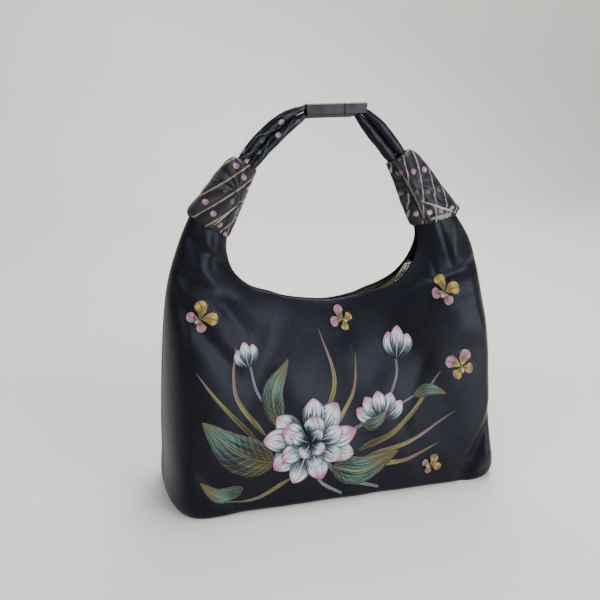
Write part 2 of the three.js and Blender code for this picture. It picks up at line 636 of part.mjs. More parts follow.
upright.add(piece('knot_left', knotLeft, satin(0x12121a)));
upright.add(piece('knot_right', knotRight, satin(0x12121a)));

const seam = SLEEVE_START + SLEEVE_LONG;
const sleeveLong = cutFrom(sleeveGeometry(SLEEVE_START, seam, 0), cuts.left);
const sleeveShort = cutFrom(sleeveGeometry(seam + SLEEVE_SEAM, SLEEVE_END, SLEEVE_MITRE), cuts.right);
upright.add(piece('sleeve_long', sleeveLong, metal(0x2e2e30)));
upright.add(piece('sleeve_short', sleeveShort, metal(0x2e2e30)));

export default bag;
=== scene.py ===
# %% [markdown]
# # A silk satin shoulder bag
# The bag is a soft shell of black satin that stands on its flat base. Its mouth is a curved slit
# with a zip, and it rises at both ends into a neck. Each neck goes up into a knot of folded satin,
# and two rolled satin tubes run from each knot to a pair of metal sleeves at the top.
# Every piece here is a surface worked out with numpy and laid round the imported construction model,
# which is loaded first and never moved.

import math

import bmesh
import bpy
import numpy as np
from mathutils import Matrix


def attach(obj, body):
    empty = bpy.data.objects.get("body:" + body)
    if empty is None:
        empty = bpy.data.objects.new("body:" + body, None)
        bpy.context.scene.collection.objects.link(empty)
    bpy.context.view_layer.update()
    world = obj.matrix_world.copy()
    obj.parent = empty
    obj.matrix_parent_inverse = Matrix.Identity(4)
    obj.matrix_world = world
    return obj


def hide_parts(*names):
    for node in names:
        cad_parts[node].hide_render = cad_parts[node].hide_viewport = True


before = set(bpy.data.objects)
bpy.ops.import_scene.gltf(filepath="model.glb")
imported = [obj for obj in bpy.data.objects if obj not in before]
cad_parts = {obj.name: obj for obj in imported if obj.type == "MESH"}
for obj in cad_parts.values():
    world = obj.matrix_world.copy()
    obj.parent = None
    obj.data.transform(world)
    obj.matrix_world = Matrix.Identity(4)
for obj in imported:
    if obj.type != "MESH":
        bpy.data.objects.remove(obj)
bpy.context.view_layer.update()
MM = 0.001  # every size below is in millimetres, and a mesh is in metres
print("nodes:", ", ".join(sorted(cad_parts)))

# %% [markdown]
# ## The camera
# The camera stands in front of the bag and to its left, a little above the handle. Its height,
# turn and lens follow from the vanishing lines of the bag's base, so its place is in real sizes.
# A camera could also be aimed with a Track To constraint, but plain angles say the view exactly.

# %% Camera
CAMERA_PLACE = (-204.0, -628.5, 357.2)
CAMERA_PITCH = 17.8  # degrees below the horizontal
CAMERA_TURN = 15.7  # degrees to the right
CAMERA_LENS = 54.36
camera = bpy.data.objects.new("camera", bpy.data.cameras.new("camera"))
bpy.context.scene.collection.objects.link(camera)
camera.data.lens = CAMERA_LENS
camera.location = [value * MM for value in CAMERA_PLACE]
camera.rotation_euler = (math.radians(90 - CAMERA_PITCH), 0, math.radians(-CAMERA_TURN))
bpy.context.scene.camera = camera
print("camera at", CAMERA_PLACE)

# %% [markdown]
# ## Turning grids of points into pieces
# Cloth is a sheet, so nearly every piece is a grid of points: rows one way, columns the other.
# A grid whose rows close on themselves is a tube. One function makes the quads of a grid with
# whole-array sums, and another joins several grids into one mesh and puts it on the bag.


# %% Grid helpers
def grid_faces(rows, columns, ring, closed):
    """The four corners of every cell of a grid, as numbers of its points.

    Corner one is (i, j), then (i + 1, j), (i + 1, j + 1) and (i, j + 1), so a face looks along the
    cross product of the way down the rows and the way along the columns. ring joins the last
    column to the first, and closed joins the last row to the first.
    """
    i = np.arange(rows if closed else rows - 1)[:, None]
    j = np.arange(columns if ring else columns - 1)[None, :]
    below, beside = (i + 1) % rows, (j + 1) % columns
    corners = (i * columns + j, below * columns + j, below * columns + beside, i * columns + beside)
    return np.stack(corners, -1).reshape(-1, 4)


def sheet(points, uv=None, tint=0.0, ring=False, closed=False):
    """One grid of a piece: its points (rows, columns, 3) in millimetres, a uv pair for each point
    and a tint, one number that a material may vary its colour by."""
    return {"points": points, "uv": uv, "tint": tint, "ring": ring, "closed": closed}


def make_piece(name, sheets, material, replaces=(), weld=False):
    """Joins sheets into one mesh object on the bag. Each sheet's points follow the last one's, and
    its face numbers are shifted by the points before it."""
    points = np.concatenate([s["points"].reshape(-1, 3) for s in sheets]) * MM
    starts = np.cumsum([0] + [s["points"].shape[0] * s["points"].shape[1] for s in sheets])
    faces = np.concatenate([
        grid_faces(*s["points"].shape[:2], s["ring"], s["closed"]) + start
        for s, start in zip(sheets, starts)
    ])
    mesh = bpy.data.meshes.new(name)
    mesh.vertices.add(len(points))
    mesh.vertices.foreach_set("co", points.astype(np.float32).ravel())
    mesh.loops.add(faces.size)
    mesh.loops.foreach_set("vertex_index", faces.astype(np.int32).ravel())
    mesh.polygons.add(len(faces))
    mesh.polygons.foreach_set("loop_start", np.arange(0, faces.size, 4, dtype=np.int32))
    mesh.update(calc_edges=True)
    if sheets[0]["uv"] is not None:
        uv = np.concatenate([s["uv"].reshape(-1, 2) for s in sheets])[faces.ravel()]
        mesh.uv_layers.new(name="UVMap").data.foreach_set("uv", uv.astype(np.float32).ravel())
    tints = np.concatenate([np.full(s["points"][..., 0].size, s["tint"]) for s in sheets])
    mesh.attributes.new("tint", "FLOAT", "POINT").data.foreach_set("value", tints.astype(np.float32))
    if weld:
        weld_mesh(mesh)
    mesh.shade_smooth()
    mesh.materials.append(material)
    piece = bpy.data.objects.new(name, mesh)
    bpy.context.scene.collection.objects.link(piece)
    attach(piece, "root")
    if replaces:
        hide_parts(*replaces)
    print(f"{name}: {len(mesh.polygons)} faces")
    return piece


def weld_mesh(mesh):
    """Merges points that lie together, such as a pole's, and turns the faces outwards."""
    work = bmesh.new()
    work.from_mesh(mesh)
    bmesh.ops.remove_doubles(work, verts=work.verts, dist=0.002 * MM)
    bmesh.ops.recalc_face_normals(work, faces=work.faces)
    work.to_mesh(mesh)
    work.free()


def mix(a, b, share):
    """From a to b by a share."""
    return a + (b - a) * share


def ease(share):
    """A smooth step from 0 to 1: three times the share squared less twice its cube."""
    share = np.clip(share, 0, 1)
    return share * share * (3 - 2 * share)


def smooth(values, places):
    """Catmull-Rom through the rows of values: between two rows a cubic whose slope at each is half
    the step from the row before it to the row after it."""
    padded = np.concatenate([2 * values[:1] - values[1:2], values, 2 * values[-1:] - values[-2:-1]])
    at = np.clip(np.asarray(places).astype(int), 0, len(values) - 2)
    t = (np.asarray(places) - at)[:, None]
    a, b, c, d = (padded[at + k] for k in range(4))
    return b + 0.5 * t * (c - a + t * (2 * a - 5 * b + 4 * c - d + t * (3 * (b - c) + d - a)))


# %% [markdown]
# ## Colours and nodes
# Colours are written as they look on a screen and turned to the linear light that the renderer
# adds up. Node trees get long when every node takes four lines, so one helper adds a node with its
# settings and its links.


# %% Colour and node helpers
def linear(code):
    """sRGB hex to linear light: a channel becomes ((c + 0.055) / 1.055) to the power of 2.4."""
    channels = np.array([int(code[k:k + 2], 16) for k in (1, 3, 5)]) / 255
    low = channels <= 0.04045
    return (*np.where(low, channels / 12.92, ((channels + 0.055) / 1.055) ** 2.4).tolist(), 1.0)


def add(tree, kind, settings=(), links=()):
    """Adds one node. A setting is a property, a socket's value by name or number, or the stops of
    a colour ramp, and a link goes from another node's output to a socket."""
    node = tree.nodes.new("ShaderNode" + kind)
    for key, value in dict(settings).items():
        if key == "stops":
            ramp = node.color_ramp.elements
            while len(ramp) < len(value):
                ramp.new(0.5)
            for stop, (place, code) in zip(ramp, value):
                stop.position, stop.color = place, linear(code)
        elif isinstance(key, str) and hasattr(node, key):
            setattr(node, key, value)
        else:
            node.inputs[key].default_value = linear(value) if isinstance(value, str) else value
    for key, source in dict(links).items():
        tree.links.new(source, node.inputs[key])
    return node


def new_material(name, settings):
    """A material with one Principled shader, whose even values are set on its own sockets."""
    material = bpy.data.materials.new(name)
    material.use_nodes = True
    tree = material.node_tree
    tree.nodes.clear()
    shader = add(tree, "BsdfPrincipled", settings)
    add(tree, "OutputMaterial", {}, {"Surface": shader.outputs[0]})
    return material, tree, shader


# %% [markdown]
# ## The satin
# Silk satin is woven with long floats, so most threads lie one way and the cloth shines softly
# along folds. To the eye it is near black with blue-grey light on it. It could be done with an
# anisotropic shader, but the threads here are too fine to see, so a broad highlight, a little
# sheen and a fine bump of floats give the same look and survive an export.

# %% Satin material
FLOAT_PITCH = 0.9  # mm between rows of floats, drawn three times as coarse as real silk
WAVE_PERIOD = 0.314  # of a wave texture at scale 1, in its own units
PUCKER = 0.35  # how strongly the soft padding puckers the cloth, about a centimetre apart


def satin(name, dark, light, roughness=0.42, sheen=0.1, pitch=FLOAT_PITCH):
    """Woven silk: colour clouds of two near shades, rows of floats as a bump and soft sheen. Its
    highlight is a little blue and weaker than a smooth surface's, as threads scatter it."""
    material, tree, shader = new_material(name, {
        "IOR": 1.5, "Specular IOR Level": 0.27, "Specular Tint": linear("#c0c4de"),
        "Sheen Weight": sheen, "Sheen Roughness": 0.4, "Sheen Tint": linear("#8a93a8"),
    })
    place = add(tree, "TexCoord").outputs["Object"]
    cloud = add(tree, "TexNoise", {"Scale": 22, "Detail": 3}, {"Vector": place})
    colour = add(tree, "ValToRGB", {"stops": [(0.3, dark), (0.72, light)]}, {0: cloud.outputs[0]})
    gloss = add(tree, "MapRange", {3: roughness - 0.05, 4: roughness + 0.07}, {0: cloud.outputs[0]})
    floats = add(tree, "TexWave", {
        "bands_direction": "Z", "Scale": WAVE_PERIOD / (pitch * MM), "Distortion": 1.2,
        "Detail": 2, "Detail Scale": 3,
    }, {"Vector": place})
    slubs = add(tree, "TexNoise", {"Scale": 900, "Detail": 2}, {"Vector": place})
    relief = add(tree, "Math", {"operation": "ADD"}, {0: floats.outputs[1], 1: slubs.outputs[0]})
    bump = add(tree, "Bump", {"Strength": 0.6, "Distance": 0.07 * MM}, {"Height": relief.outputs[0]})
    pucker = add(tree, "TexNoise", {"Scale": 95, "Detail": 4, "Distortion": 0.8}, {"Vector": place})
    bump = add(tree, "Bump", {"Strength": PUCKER, "Distance": 0.9 * MM},
               {"Height": pucker.outputs[0], "Normal": bump.outputs[0]})
    tree.links.new(colour.outputs[0], shader.inputs["Base Color"])
    tree.links.new(gloss.outputs[0], shader.inputs["Roughness"])
    tree.links.new(bump.outputs[0], shader.inputs["Normal"])
    return material


body_satin = satin("silk_satin_black", "#050508", "#0a0a10")
lining_cloth = satin("lining_twill", "#625b48", "#786f57", roughness=0.65, sheen=0.1, pitch=1.4)
print("satin rows of floats every", FLOAT_PITCH, "mm")

# %% [markdown]
# ## The bag's body
# The real body is two satin panels with padding behind, sewn along the base and the sides, and
# gathered into the necks. It is drawn as a fan of sections: the fan runs from the left neck down
# round the base and up to the right neck, and each section runs from the front lip over the
# swelling side to the centre line and back up to the back lip. Cloth simulation could sag a plain
# shell too, but a table of sections holds the outline where the photograph has it.

# %% Body sizes
BODY_WIDTH = 266
BODY_DEPTH = 95
WALL = 2
LIP_LOW = 147
NECK_HEIGHT = 216
NECK_WIDTH_LEFT = 26
NECK_WIDTH_RIGHT = 31
NECK_DEPTH = 22
NECK_TUCK = 11
NECK_TAPER = 0.9
MOUTH_WIDTH = 148
MOUTH_OFFSET = -9
MOUTH_GAP = 16
SLIT_CLEARANCE = 0.5
SHOULDER = 0.8
KNOT_ANGLE = {"left": 57, "right": 120}  # degrees, the knots' axes above the horizontal
HANDLE_LEAN = 7  # degrees, to the back
LEAN_FROM = NECK_HEIGHT - 18
SECTION_COLUMNS = [
    "lip_across", "lip_up", "edge_across", "edge_up", "out_across", "out_up",
    "depth", "neck", "gap", "square",
]
SECTIONS = np.array([
    [-0.987, 0.81, -0.73, 0.97, -0.83, 1.0, 0.24, 1, 0, 2],
    [-1.0, 0.62, -0.82, 0.895, -0.985, 0.885, 0.35, 0.5, 0, 2],
    [-0.935, 0.4, -0.86, 0.765, -0.99, 0.74, 0.46, 0.15, 0.1, 2],
    [-0.77, 0.22, -0.87, 0.56, -1.0, 0.51, 0.72, 0, 0.2, 2.1],
    [-0.555, 0.13, -0.87, 0.25, -1.02, 0.185, 0.93, 0, 0.15, 2.4],
    [-0.42, 0.075, -0.85, 0.05, -0.99, 0, 1, 0, 0.05, 3],
    [-0.22, 0.03, -0.57, 0.07, -0.6, -0.006, 1, 0, 0, 8],
    [0.04, 0, -0.07, 0.07, -0.08, -0.006, 1, 0, 0.05, 8],
    [0.31, 0.03, 0.43, 0.07, 0.45, -0.006, 1, 0, 0.3, 8],
    [0.47, 0.075, 0.79, 0.05, 0.895, 0, 1, 0, 0.65, 4],
    [0.635, 0.12, 0.82, 0.24, 0.93, 0.185, 0.93, 0, 1, 2.4],
    [0.797, 0.21, 0.81, 0.56, 0.92, 0.51, 0.72, 0, 1, 2.1],
    [0.93, 0.37, 0.77, 0.765, 0.905, 0.74, 0.46, 0.15, 0.8, 2],
    [1.0, 0.6, 0.7, 0.87, 0.93, 0.86, 0.35, 0.5, 0.2, 2],
    [0.98, 0.78, 0.6, 0.95, 0.68, 0.965, 0.24, 1, 0, 2],
])
print(len(SECTIONS), "sections from neck to neck")

# %% [markdown]
# The table holds shares, so the first step turns them into millimetres. Each end then gets one
# more section: the neck's own, drawn in a little and carried up inside the knot.


# %% Sized sections
def sized_sections():
    """Rows of lip x and z, edge x and z, outside x and z, half depth, half gap and squareness."""
    share = {name: SECTIONS[:, k] for k, name in enumerate(SECTION_COLUMNS)}
    side = np.sign(share["out_across"])
    neck_width = np.where(side < 0, NECK_WIDTH_LEFT, NECK_WIDTH_RIGHT)
    neck_out = MOUTH_OFFSET + side * (MOUTH_WIDTH / 2 + neck_width)
    lip_x = MOUTH_OFFSET + share["lip_across"] * MOUTH_WIDTH / 2
    neck = share["neck"]
    return np.stack([
        lip_x,
        mix(LIP_LOW, NECK_HEIGHT, share["lip_up"]),
        mix(share["edge_across"] * BODY_WIDTH / 2, (lip_x + neck_out) / 2, neck),
        share["edge_up"] * NECK_HEIGHT,
        mix(share["out_across"] * BODY_WIDTH / 2, neck_out, neck),
        share["out_up"] * NECK_HEIGHT,
        mix(share["depth"] * BODY_DEPTH / 2, NECK_DEPTH / 2, neck),
        mix(WALL + SLIT_CLEARANCE, MOUTH_GAP / 2, share["gap"]),
        share["square"],
    ], -1)


def tucked(section, angle):
    """A neck's end: its section drawn in about its middle and carried up along the knot's axis."""
    end = section.copy()
    for k, step in enumerate((math.cos(math.radians(angle)), math.sin(math.radians(angle)))):
        places = [k, 2 + k, 4 + k]
        middle = (section[k] + section[4 + k]) / 2
        end[places] = middle + (section[places] - middle) * NECK_TAPER + step * NECK_TUCK
    end[6] *= NECK_TAPER
    return end


plain = sized_sections()
neck_section = {"left": plain[0], "right": plain[-1]}
fan_sections = np.vstack([
    tucked(plain[0], KNOT_ANGLE["left"]), plain, tucked(plain[-1], KNOT_ANGLE["right"]),
])
print("lip from x", plain[0, 0].round(1), "to", plain[-1, 0].round(1))

# %% [markdown]
# ## Folds in the walls
# Satin over soft padding lies in broad swells with a few sharp dents where it is pulled: out of
# the necks, across the front to the far corner, and in the puffed corner at the base. Each fold is
# a ridge or a dent along a line, so a table of lines says them all.

# %% Folds
FOLD_WIDTH = 11
FOLD_HEIGHT = 3.5
FOLD_RUN_OUT = 0.18
FOLD_START = 0.2
FOLDS = np.array([
    # side, from across, from up, to across, to up, width, height
    [-1, -0.82, 0.93, -0.64, 0.84, 0.3, -0.5],
    [-1, -0.92, 0.83, -0.62, 0.73, 0.45, -0.8],
    [-1, -0.78, 0.98, -0.72, 0.89, 0.45, 0.45],
    [-1, -0.78, 0.84, -0.6, 0.66, 0.5, 0.5],
    [-1, -0.92, 0.74, -0.64, 0.5, 0.6, -0.9],
    [-1, -0.55, 0.62, -0.05, 0.2, 1, 0.7],
    [-1, -0.5, 0.66, -0.04, 0.56, 0.75, -0.5],
    [-1, 0.2, 0.46, -0.3, 0.28, 0.9, -0.5],
    [-1, 0.3, 0.68, 0.82, 0.79, 0.42, -0.9],
    [-1, 0.02, 0.53, 0.8, 0.58, 1, 0.6],
    [-1, 0.71, 0.94, 0.68, 0.83, 0.5, 0.6],
    [-1, 0.46, 0.46, 0.32, 0.27, 0.4, -0.35],
    [-1, 0.88, 0.24, 0.71, 0.03, 0.45, -0.8],
    [-1, 0.86, 0.1, 0.78, 0.05, 0.5, 0.6],
    [1, -0.66, 0.9, -0.7, 0.55, 0.7, 0.7],
    [1, -0.5, 0.6, -0.85, 0.3, 0.9, -0.8],
    [1, 0.5, 0.86, 0.6, 0.55, 0.7, 0.7],
    [1, 0.45, 0.6, 0.85, 0.34, 0.9, -0.8],
    [1, -0.2, 0.5, 0.3, 0.16, 1, 0.5],
    # narrower creases that only the cloth has
    [-1, -0.69, 0.98, -0.72, 0.86, 0.2, -0.2],
    [-1, -0.6, 0.9, -0.56, 0.76, 0.22, -0.2],
    [-1, -0.86, 0.8, -0.7, 0.7, 0.16, -0.2],
    [-1, 0.5, 0.93, 0.56, 0.78, 0.2, -0.22],
    [-1, 0.6, 0.93, 0.66, 0.8, 0.2, -0.2],
    [-1, 0.44, 0.76, 0.7, 0.72, 0.18, -0.25],
    [-1, 0.5, 0.68, 0.78, 0.7, 0.22, -0.2],
    [-1, 0.9, 0.3, 0.78, 0.12, 0.25, -0.3],
    [-1, -0.9, 0.2, -0.7, 0.06, 0.4, -0.35],
    [-1, -0.4, 0.56, 0.1, 0.5, 0.4, -0.12],
    [1, -0.6, 0.93, -0.62, 0.75, 0.25, -0.3],
    [1, 0.45, 0.9, 0.5, 0.7, 0.25, -0.3],
    [1, 0.7, 0.3, 0.85, 0.1, 0.35, -0.35],
    [1, -0.7, 0.26, -0.86, 0.08, 0.35, -0.35],
])
RIPPLES = np.array([
    # waves across and up over 100 mm, phase, height in mm
    [1.3, 0.9, 0.4, 0.34],
    [-0.8, 1.9, 2.1, 0.26],
    [2.3, -1.1, 4.4, 0.2],
    [3.1, 2.2, 1.2, 0.13],
    [-4.2, 3.0, 5.0, 0.09],
])


def fold_height(side, x, z):
    """Height over the plain wall: for each fold, its height times a bell of the distance from its
    line times a bell of how far past its ends the point lies."""
    height = np.zeros_like(x)
    for _, from_across, from_up, to_across, to_up, width, tall in FOLDS[FOLDS[:, 0] == side]:
        start = np.array([from_across * BODY_WIDTH / 2, from_up * NECK_HEIGHT])
        along = np.array([to_across * BODY_WIDTH / 2, to_up * NECK_HEIGHT]) - start
        length = np.hypot(*along)
        across_x, across_z = x - start[0], z - start[1]
        share = (across_x * along[0] + across_z * along[1]) / length ** 2
        away = (across_x * along[1] - across_z * along[0]) / length / (width * FOLD_WIDTH)
        past = np.maximum(0, np.abs(share - 0.5) - 0.5) / FOLD_RUN_OUT
        height += tall * FOLD_HEIGHT * np.exp(-away ** 2 - past ** 2)
    for across, up, phase, tall in RIPPLES:
        turns = (across * x + up * z) / 100 + 0.25 * np.sin(x / 31 + side) + phase + side
        height += tall * np.sin(2 * math.pi * turns)
    return height


print(len(FOLDS), "folds and", len(RIPPLES), "ripples")

# %% [markdown]
# A point of the wall follows from its place in the fan and its place along the section: 0 at the
# lip, 1 at the edge where the wall is deepest, and 2 on the centre line of the side or the base.
# From the lip the wall swells like a sine, and past the edge it closes like a superellipse, round
# at the sides and nearly square at the base.

# %% Body surface
FAN_CELLS = 300
WALL_CELLS = 78
SEAM_DEPTH = 0.06  # of the side seam, as a share of the way from the edge to the outside
SEAM_WIDTH = 0.03


def lean_back(z):
    """The necks lean back in a line above LEAN_FROM."""
    return np.maximum(0, z - LEAN_FROM) * math.tan(math.radians(HANDLE_LEAN))


def wall(places, steps, side):
    """Points (steps, places, 3) of the outside. For a step up to 1 the point goes straight from
    lip to edge while its depth swells with the sine of the step. Past 1 the angle runs to a
    quarter turn and the point follows a superellipse, its powers two over the squareness."""
    lip_x, lip_z, edge_x, edge_z, out_x, out_z, depth, gap, square = smooth(fan_sections, places).T
    step = np.asarray(steps)[:, None]
    down, past = np.minimum(1, step), np.clip(step - 1, 0, 1)
    near, far = past ** (square / 2), (1 - past) ** (square / 2)
    angle = math.pi / 2 * near / (near + far)
    closing = np.cos(angle) ** (2 / square) * (step < 2)
    out = np.sin(angle) ** (2 / square)
    out = out - SEAM_DEPTH * np.exp(-((2 - step) / SEAM_WIDTH) ** 2) * (square < 4)
    x = mix(mix(lip_x, edge_x, down), out_x, out)
    z = mix(mix(lip_z, edge_z, down), out_z, out)
    half = np.where(step <= 1, mix(gap, depth, np.sin(math.pi / 2 * down ** SHOULDER)), depth * closing)
    fade = np.minimum(1, half / depth) * np.minimum(1, step / FOLD_START)
    y = side * (half + fold_height(side, x, z) * fade) * (step < 2) + lean_back(z)
    return np.stack([x, y, np.maximum(0, z)], -1)


def body_rows(places):
    """The whole wall, from the front lip round the outside to the back lip."""
    steps = np.concatenate([
        ease(np.linspace(0, 0.5, 12, endpoint=False)) * 0.3,
        np.linspace(0.15, 1, WALL_CELLS - 36, endpoint=False),
        np.linspace(1, 2, 25),
    ])
    return np.concatenate([wall(places, steps, -1), wall(places, steps[-2::-1], 1)])


fan_places = np.linspace(0, len(fan_sections) - 1, FAN_CELLS + 1)
body_grid = body_rows(fan_places)
body = make_piece("body_shell", [sheet(body_grid)], body_satin, ["bag_body"])
body.data.materials.append(lining_cloth)
thick = body.modifiers.new("wall", "SOLIDIFY")
thick.thickness, thick.offset, thick.material_offset = WALL * MM, -1, 1
print("body grid", body_grid.shape)

# %% [markdown]
# ## The knots
# A knot is a square of satin folded round the neck and drawn to a flat button, so its front is
# smooth with shallow valleys that run out from the button, and its foot shows where one layer of
# cloth lies over the next. It is one closed skin: up the outside, in round the tubes at the top,
# down the inside and out again round the foot. Draping a cloth by simulation would move the
# layers' edges about, so the layers are written as lines with a drop on one side.

# %% Knot sizes
KNOTS = {
    "left": {"width": 38, "length": 53, "slant": 0, "side": -1, "button": (-4.9, 33.3), "pleats": 12},
    "right": {"width": 42, "length": 57, "slant": 0.3, "side": 1, "button": (-3.8, 36.4), "pleats": 12},
}
KNOT_DEPTH = 29
KNOT_OVERLAP = 1
KNOT_PROFILE = np.array([
    # share along, outside, inside and depth as shares of the knot's half sizes
    [0, 0.86, 0.86, 0.88],
    [0.035, 0.96, 0.91, 0.94],
    [0.1, 0.97, 0.9, 0.97],
    [0.22, 0.91, 0.87, 1],
    [0.36, 0.85, 0.82, 1.02],
    [0.5, 0.79, 0.76, 1],
    [0.64, 0.75, 0.7, 0.94],
    [0.77, 0.69, 0.65, 0.84],
    [0.88, 0.62, 0.62, 0.7],
    [0.96, 0.54, 0.6, 0.56],
    [1, 0.45, 0.57, 0.45],
])
TUBE_HOLE = (6.3, 10.3, 4.4)  # outside, inside and front of the knot's axis, round the tubes
LAYERS = {
    # across and along where a layer's edge starts, the same where it ends, and the drop to its
    # left, all in mm
    "left": np.array([
        [-0.6, -3, -9.8, 28, 2.6],
        [-5.6, -3, -12.6, 21, 1.6],
        [-9, -3, -14.6, 12, 1],
    ]),
    "right": np.array([
        [-10.2, -4, -6.6, 60, 2.8],
        [24, -9, -6.2, 21, 2.4],
        [14, -9, -6.4, 3.5, 1.4],
    ]),
}
LAYER_EDGE = 0.7  # mm over which a layer drops to the one below
LAYER_ROLL = 0.45  # how far the turned edge stands up, as a share of the drop
PLEAT_VALLEY = 1.3
BUTTON_SIZE = 4.6
RIM_WAVE = 0.7  # mm that the foot's rim wavers up and down
KNOT_AROUND = 200
KNOT_ALONG = 96


def layer_drop(edge, across, along):
    """How far the cloth drops beyond a layer's edge: a smooth step of the distance to the left of
    the line, fading where the point lies past the line's ends."""
    start, way = edge[:2], edge[2:4] - edge[:2]
    length = np.hypot(*way)
    away = ((across - start[0]) * -way[1] + (along - start[1]) * way[0]) / length
    share = ((across - start[0]) * way[0] + (along - start[1]) * way[1]) / length ** 2
    inside = ease((share + 0.1) / 0.1) * ease((1.06 - share) / 0.12)
    roll = LAYER_ROLL * edge[4] * np.exp(-((away + 1.8) / 1.9) ** 2)
    return (edge[4] * ease(away / LAYER_EDGE) * np.exp(-np.maximum(0, away) / 14) - roll) * inside


def knot_relief(name, across, along, front):
    """Height over the plain knot: valleys between the button and the rim whose depth follows the
    sine of the angle round the button, the button's own bell, and the layers' drops."""
    knot = KNOTS[name]
    beside, above = across - knot["button"][0], along - knot["button"][1]
    reach, angle = np.hypot(beside, above), np.arctan2(above, beside)
    window = ease((reach - 3) / 6) * np.abs(front) ** 0.7
    height = PLEAT_VALLEY * (np.abs(np.sin(knot["pleats"] * angle / 2 + 0.6)) - 0.4) * window
    height += 1.1 * np.exp(-(reach / BUTTON_SIZE) ** 4) * np.abs(front)
    for edge in LAYERS[name]:
        height -= layer_drop(edge, across, along) * ease(np.abs(front) * 3)
    return height + 0.18 * np.sin(across / 2.3 + along / 3.1) * np.sin(along / 4.7 - across / 5.9)


def lean(points):
    """Turns the upright handle back about a line across the necks."""
    turn = math.radians(HANDLE_LEAN)
    x, y, z = np.moveaxis(points, -1, 0)
    up = z - LEAN_FROM
    back = y * math.cos(turn) + up * math.sin(turn)
    return np.stack([x, back, up * math.cos(turn) - y * math.sin(turn) + LEAN_FROM], -1)


def knot_frame(name):
    """Foot, axis and outside direction of a knot, in the upright plane of the handle."""
    knot, angle, section = KNOTS[name], math.radians(KNOT_ANGLE[name]), neck_section[name]
    axis = np.array([math.cos(angle), 0, math.sin(angle)])
    outside = np.array([axis[2], 0, -axis[0]]) * knot["side"]
    foot = np.array([(section[0] + section[4]) / 2, 0, (section[1] + section[5]) / 2])
    foot = foot - axis * KNOT_OVERLAP
    return foot, axis, outside, foot + axis * knot["length"]


def knot_skin(name):
    """The closed skin of a knot as a grid round its axis, and the place of each point across and
    along it. Each row is an oval with its own outside, inside and front half sizes."""
    knot = KNOTS[name]
    half, deep = knot["width"] / 2, KNOT_DEPTH / 2
    share = np.linspace(0, 1, KNOT_ALONG)
    place = np.interp(share, KNOT_PROFILE[:, 0], np.arange(len(KNOT_PROFILE)))
    outer = smooth(KNOT_PROFILE[:, 1:], place) * (half, half, deep)
    neck = (NECK_WIDTH_LEFT if name == "left" else NECK_WIDTH_RIGHT) / 2
    wide = (neck + 1.2, neck + 1.2, NECK_DEPTH / 2 + 1)
    narrow_rows = np.array([1, 0.97, 0.9, 0.8, 0.62])
    wide_rows = np.array([0.38, 0.26, 0.13, 0.04])
    inner = np.vstack([np.tile(TUBE_HOLE, (5, 1)), np.tile(wide, (4, 1))])
    sizes = np.vstack([outer, inner])[:, :, None]
    shares = np.concatenate([share, narrow_rows, wide_rows])[:, None]
    turn = np.linspace(0, 2 * math.pi, KNOT_AROUND, endpoint=False)[None, :]
    across = np.cos(turn) * np.where(np.cos(turn) > 0, sizes[:, 0], sizes[:, 1])
    front = np.sin(turn)
    along = shares * knot["length"] - knot["slant"] * across * (1 - shares)
    wave = np.sin(2 * turn + 1) + 0.7 * np.sin(5 * turn + knot["side"]) + 0.4 * np.sin(9 * turn)
    along = along + RIM_WAVE * wave * (1 - shares) ** 5
    skin = np.arange(len(shares))[:, None] < KNOT_ALONG
    window = ease(shares / 0.03) * ease((1 - shares) / 0.04) * skin
    swell = knot_relief(name, across, along, front) * window
    depth = front * sizes[:, 2] + np.sign(front) * np.abs(front) ** 0.5 * swell
    across_swell = across + np.cos(turn) * (1 - np.abs(front)) * swell
    foot, axis, outside, _ = knot_frame(name)
    points = foot + across_swell[..., None] * outside + along[..., None] * axis
    points = points + depth[..., None] * np.array([0, 1, 0])
    return lean(points), np.stack([across, along], -1) * MM
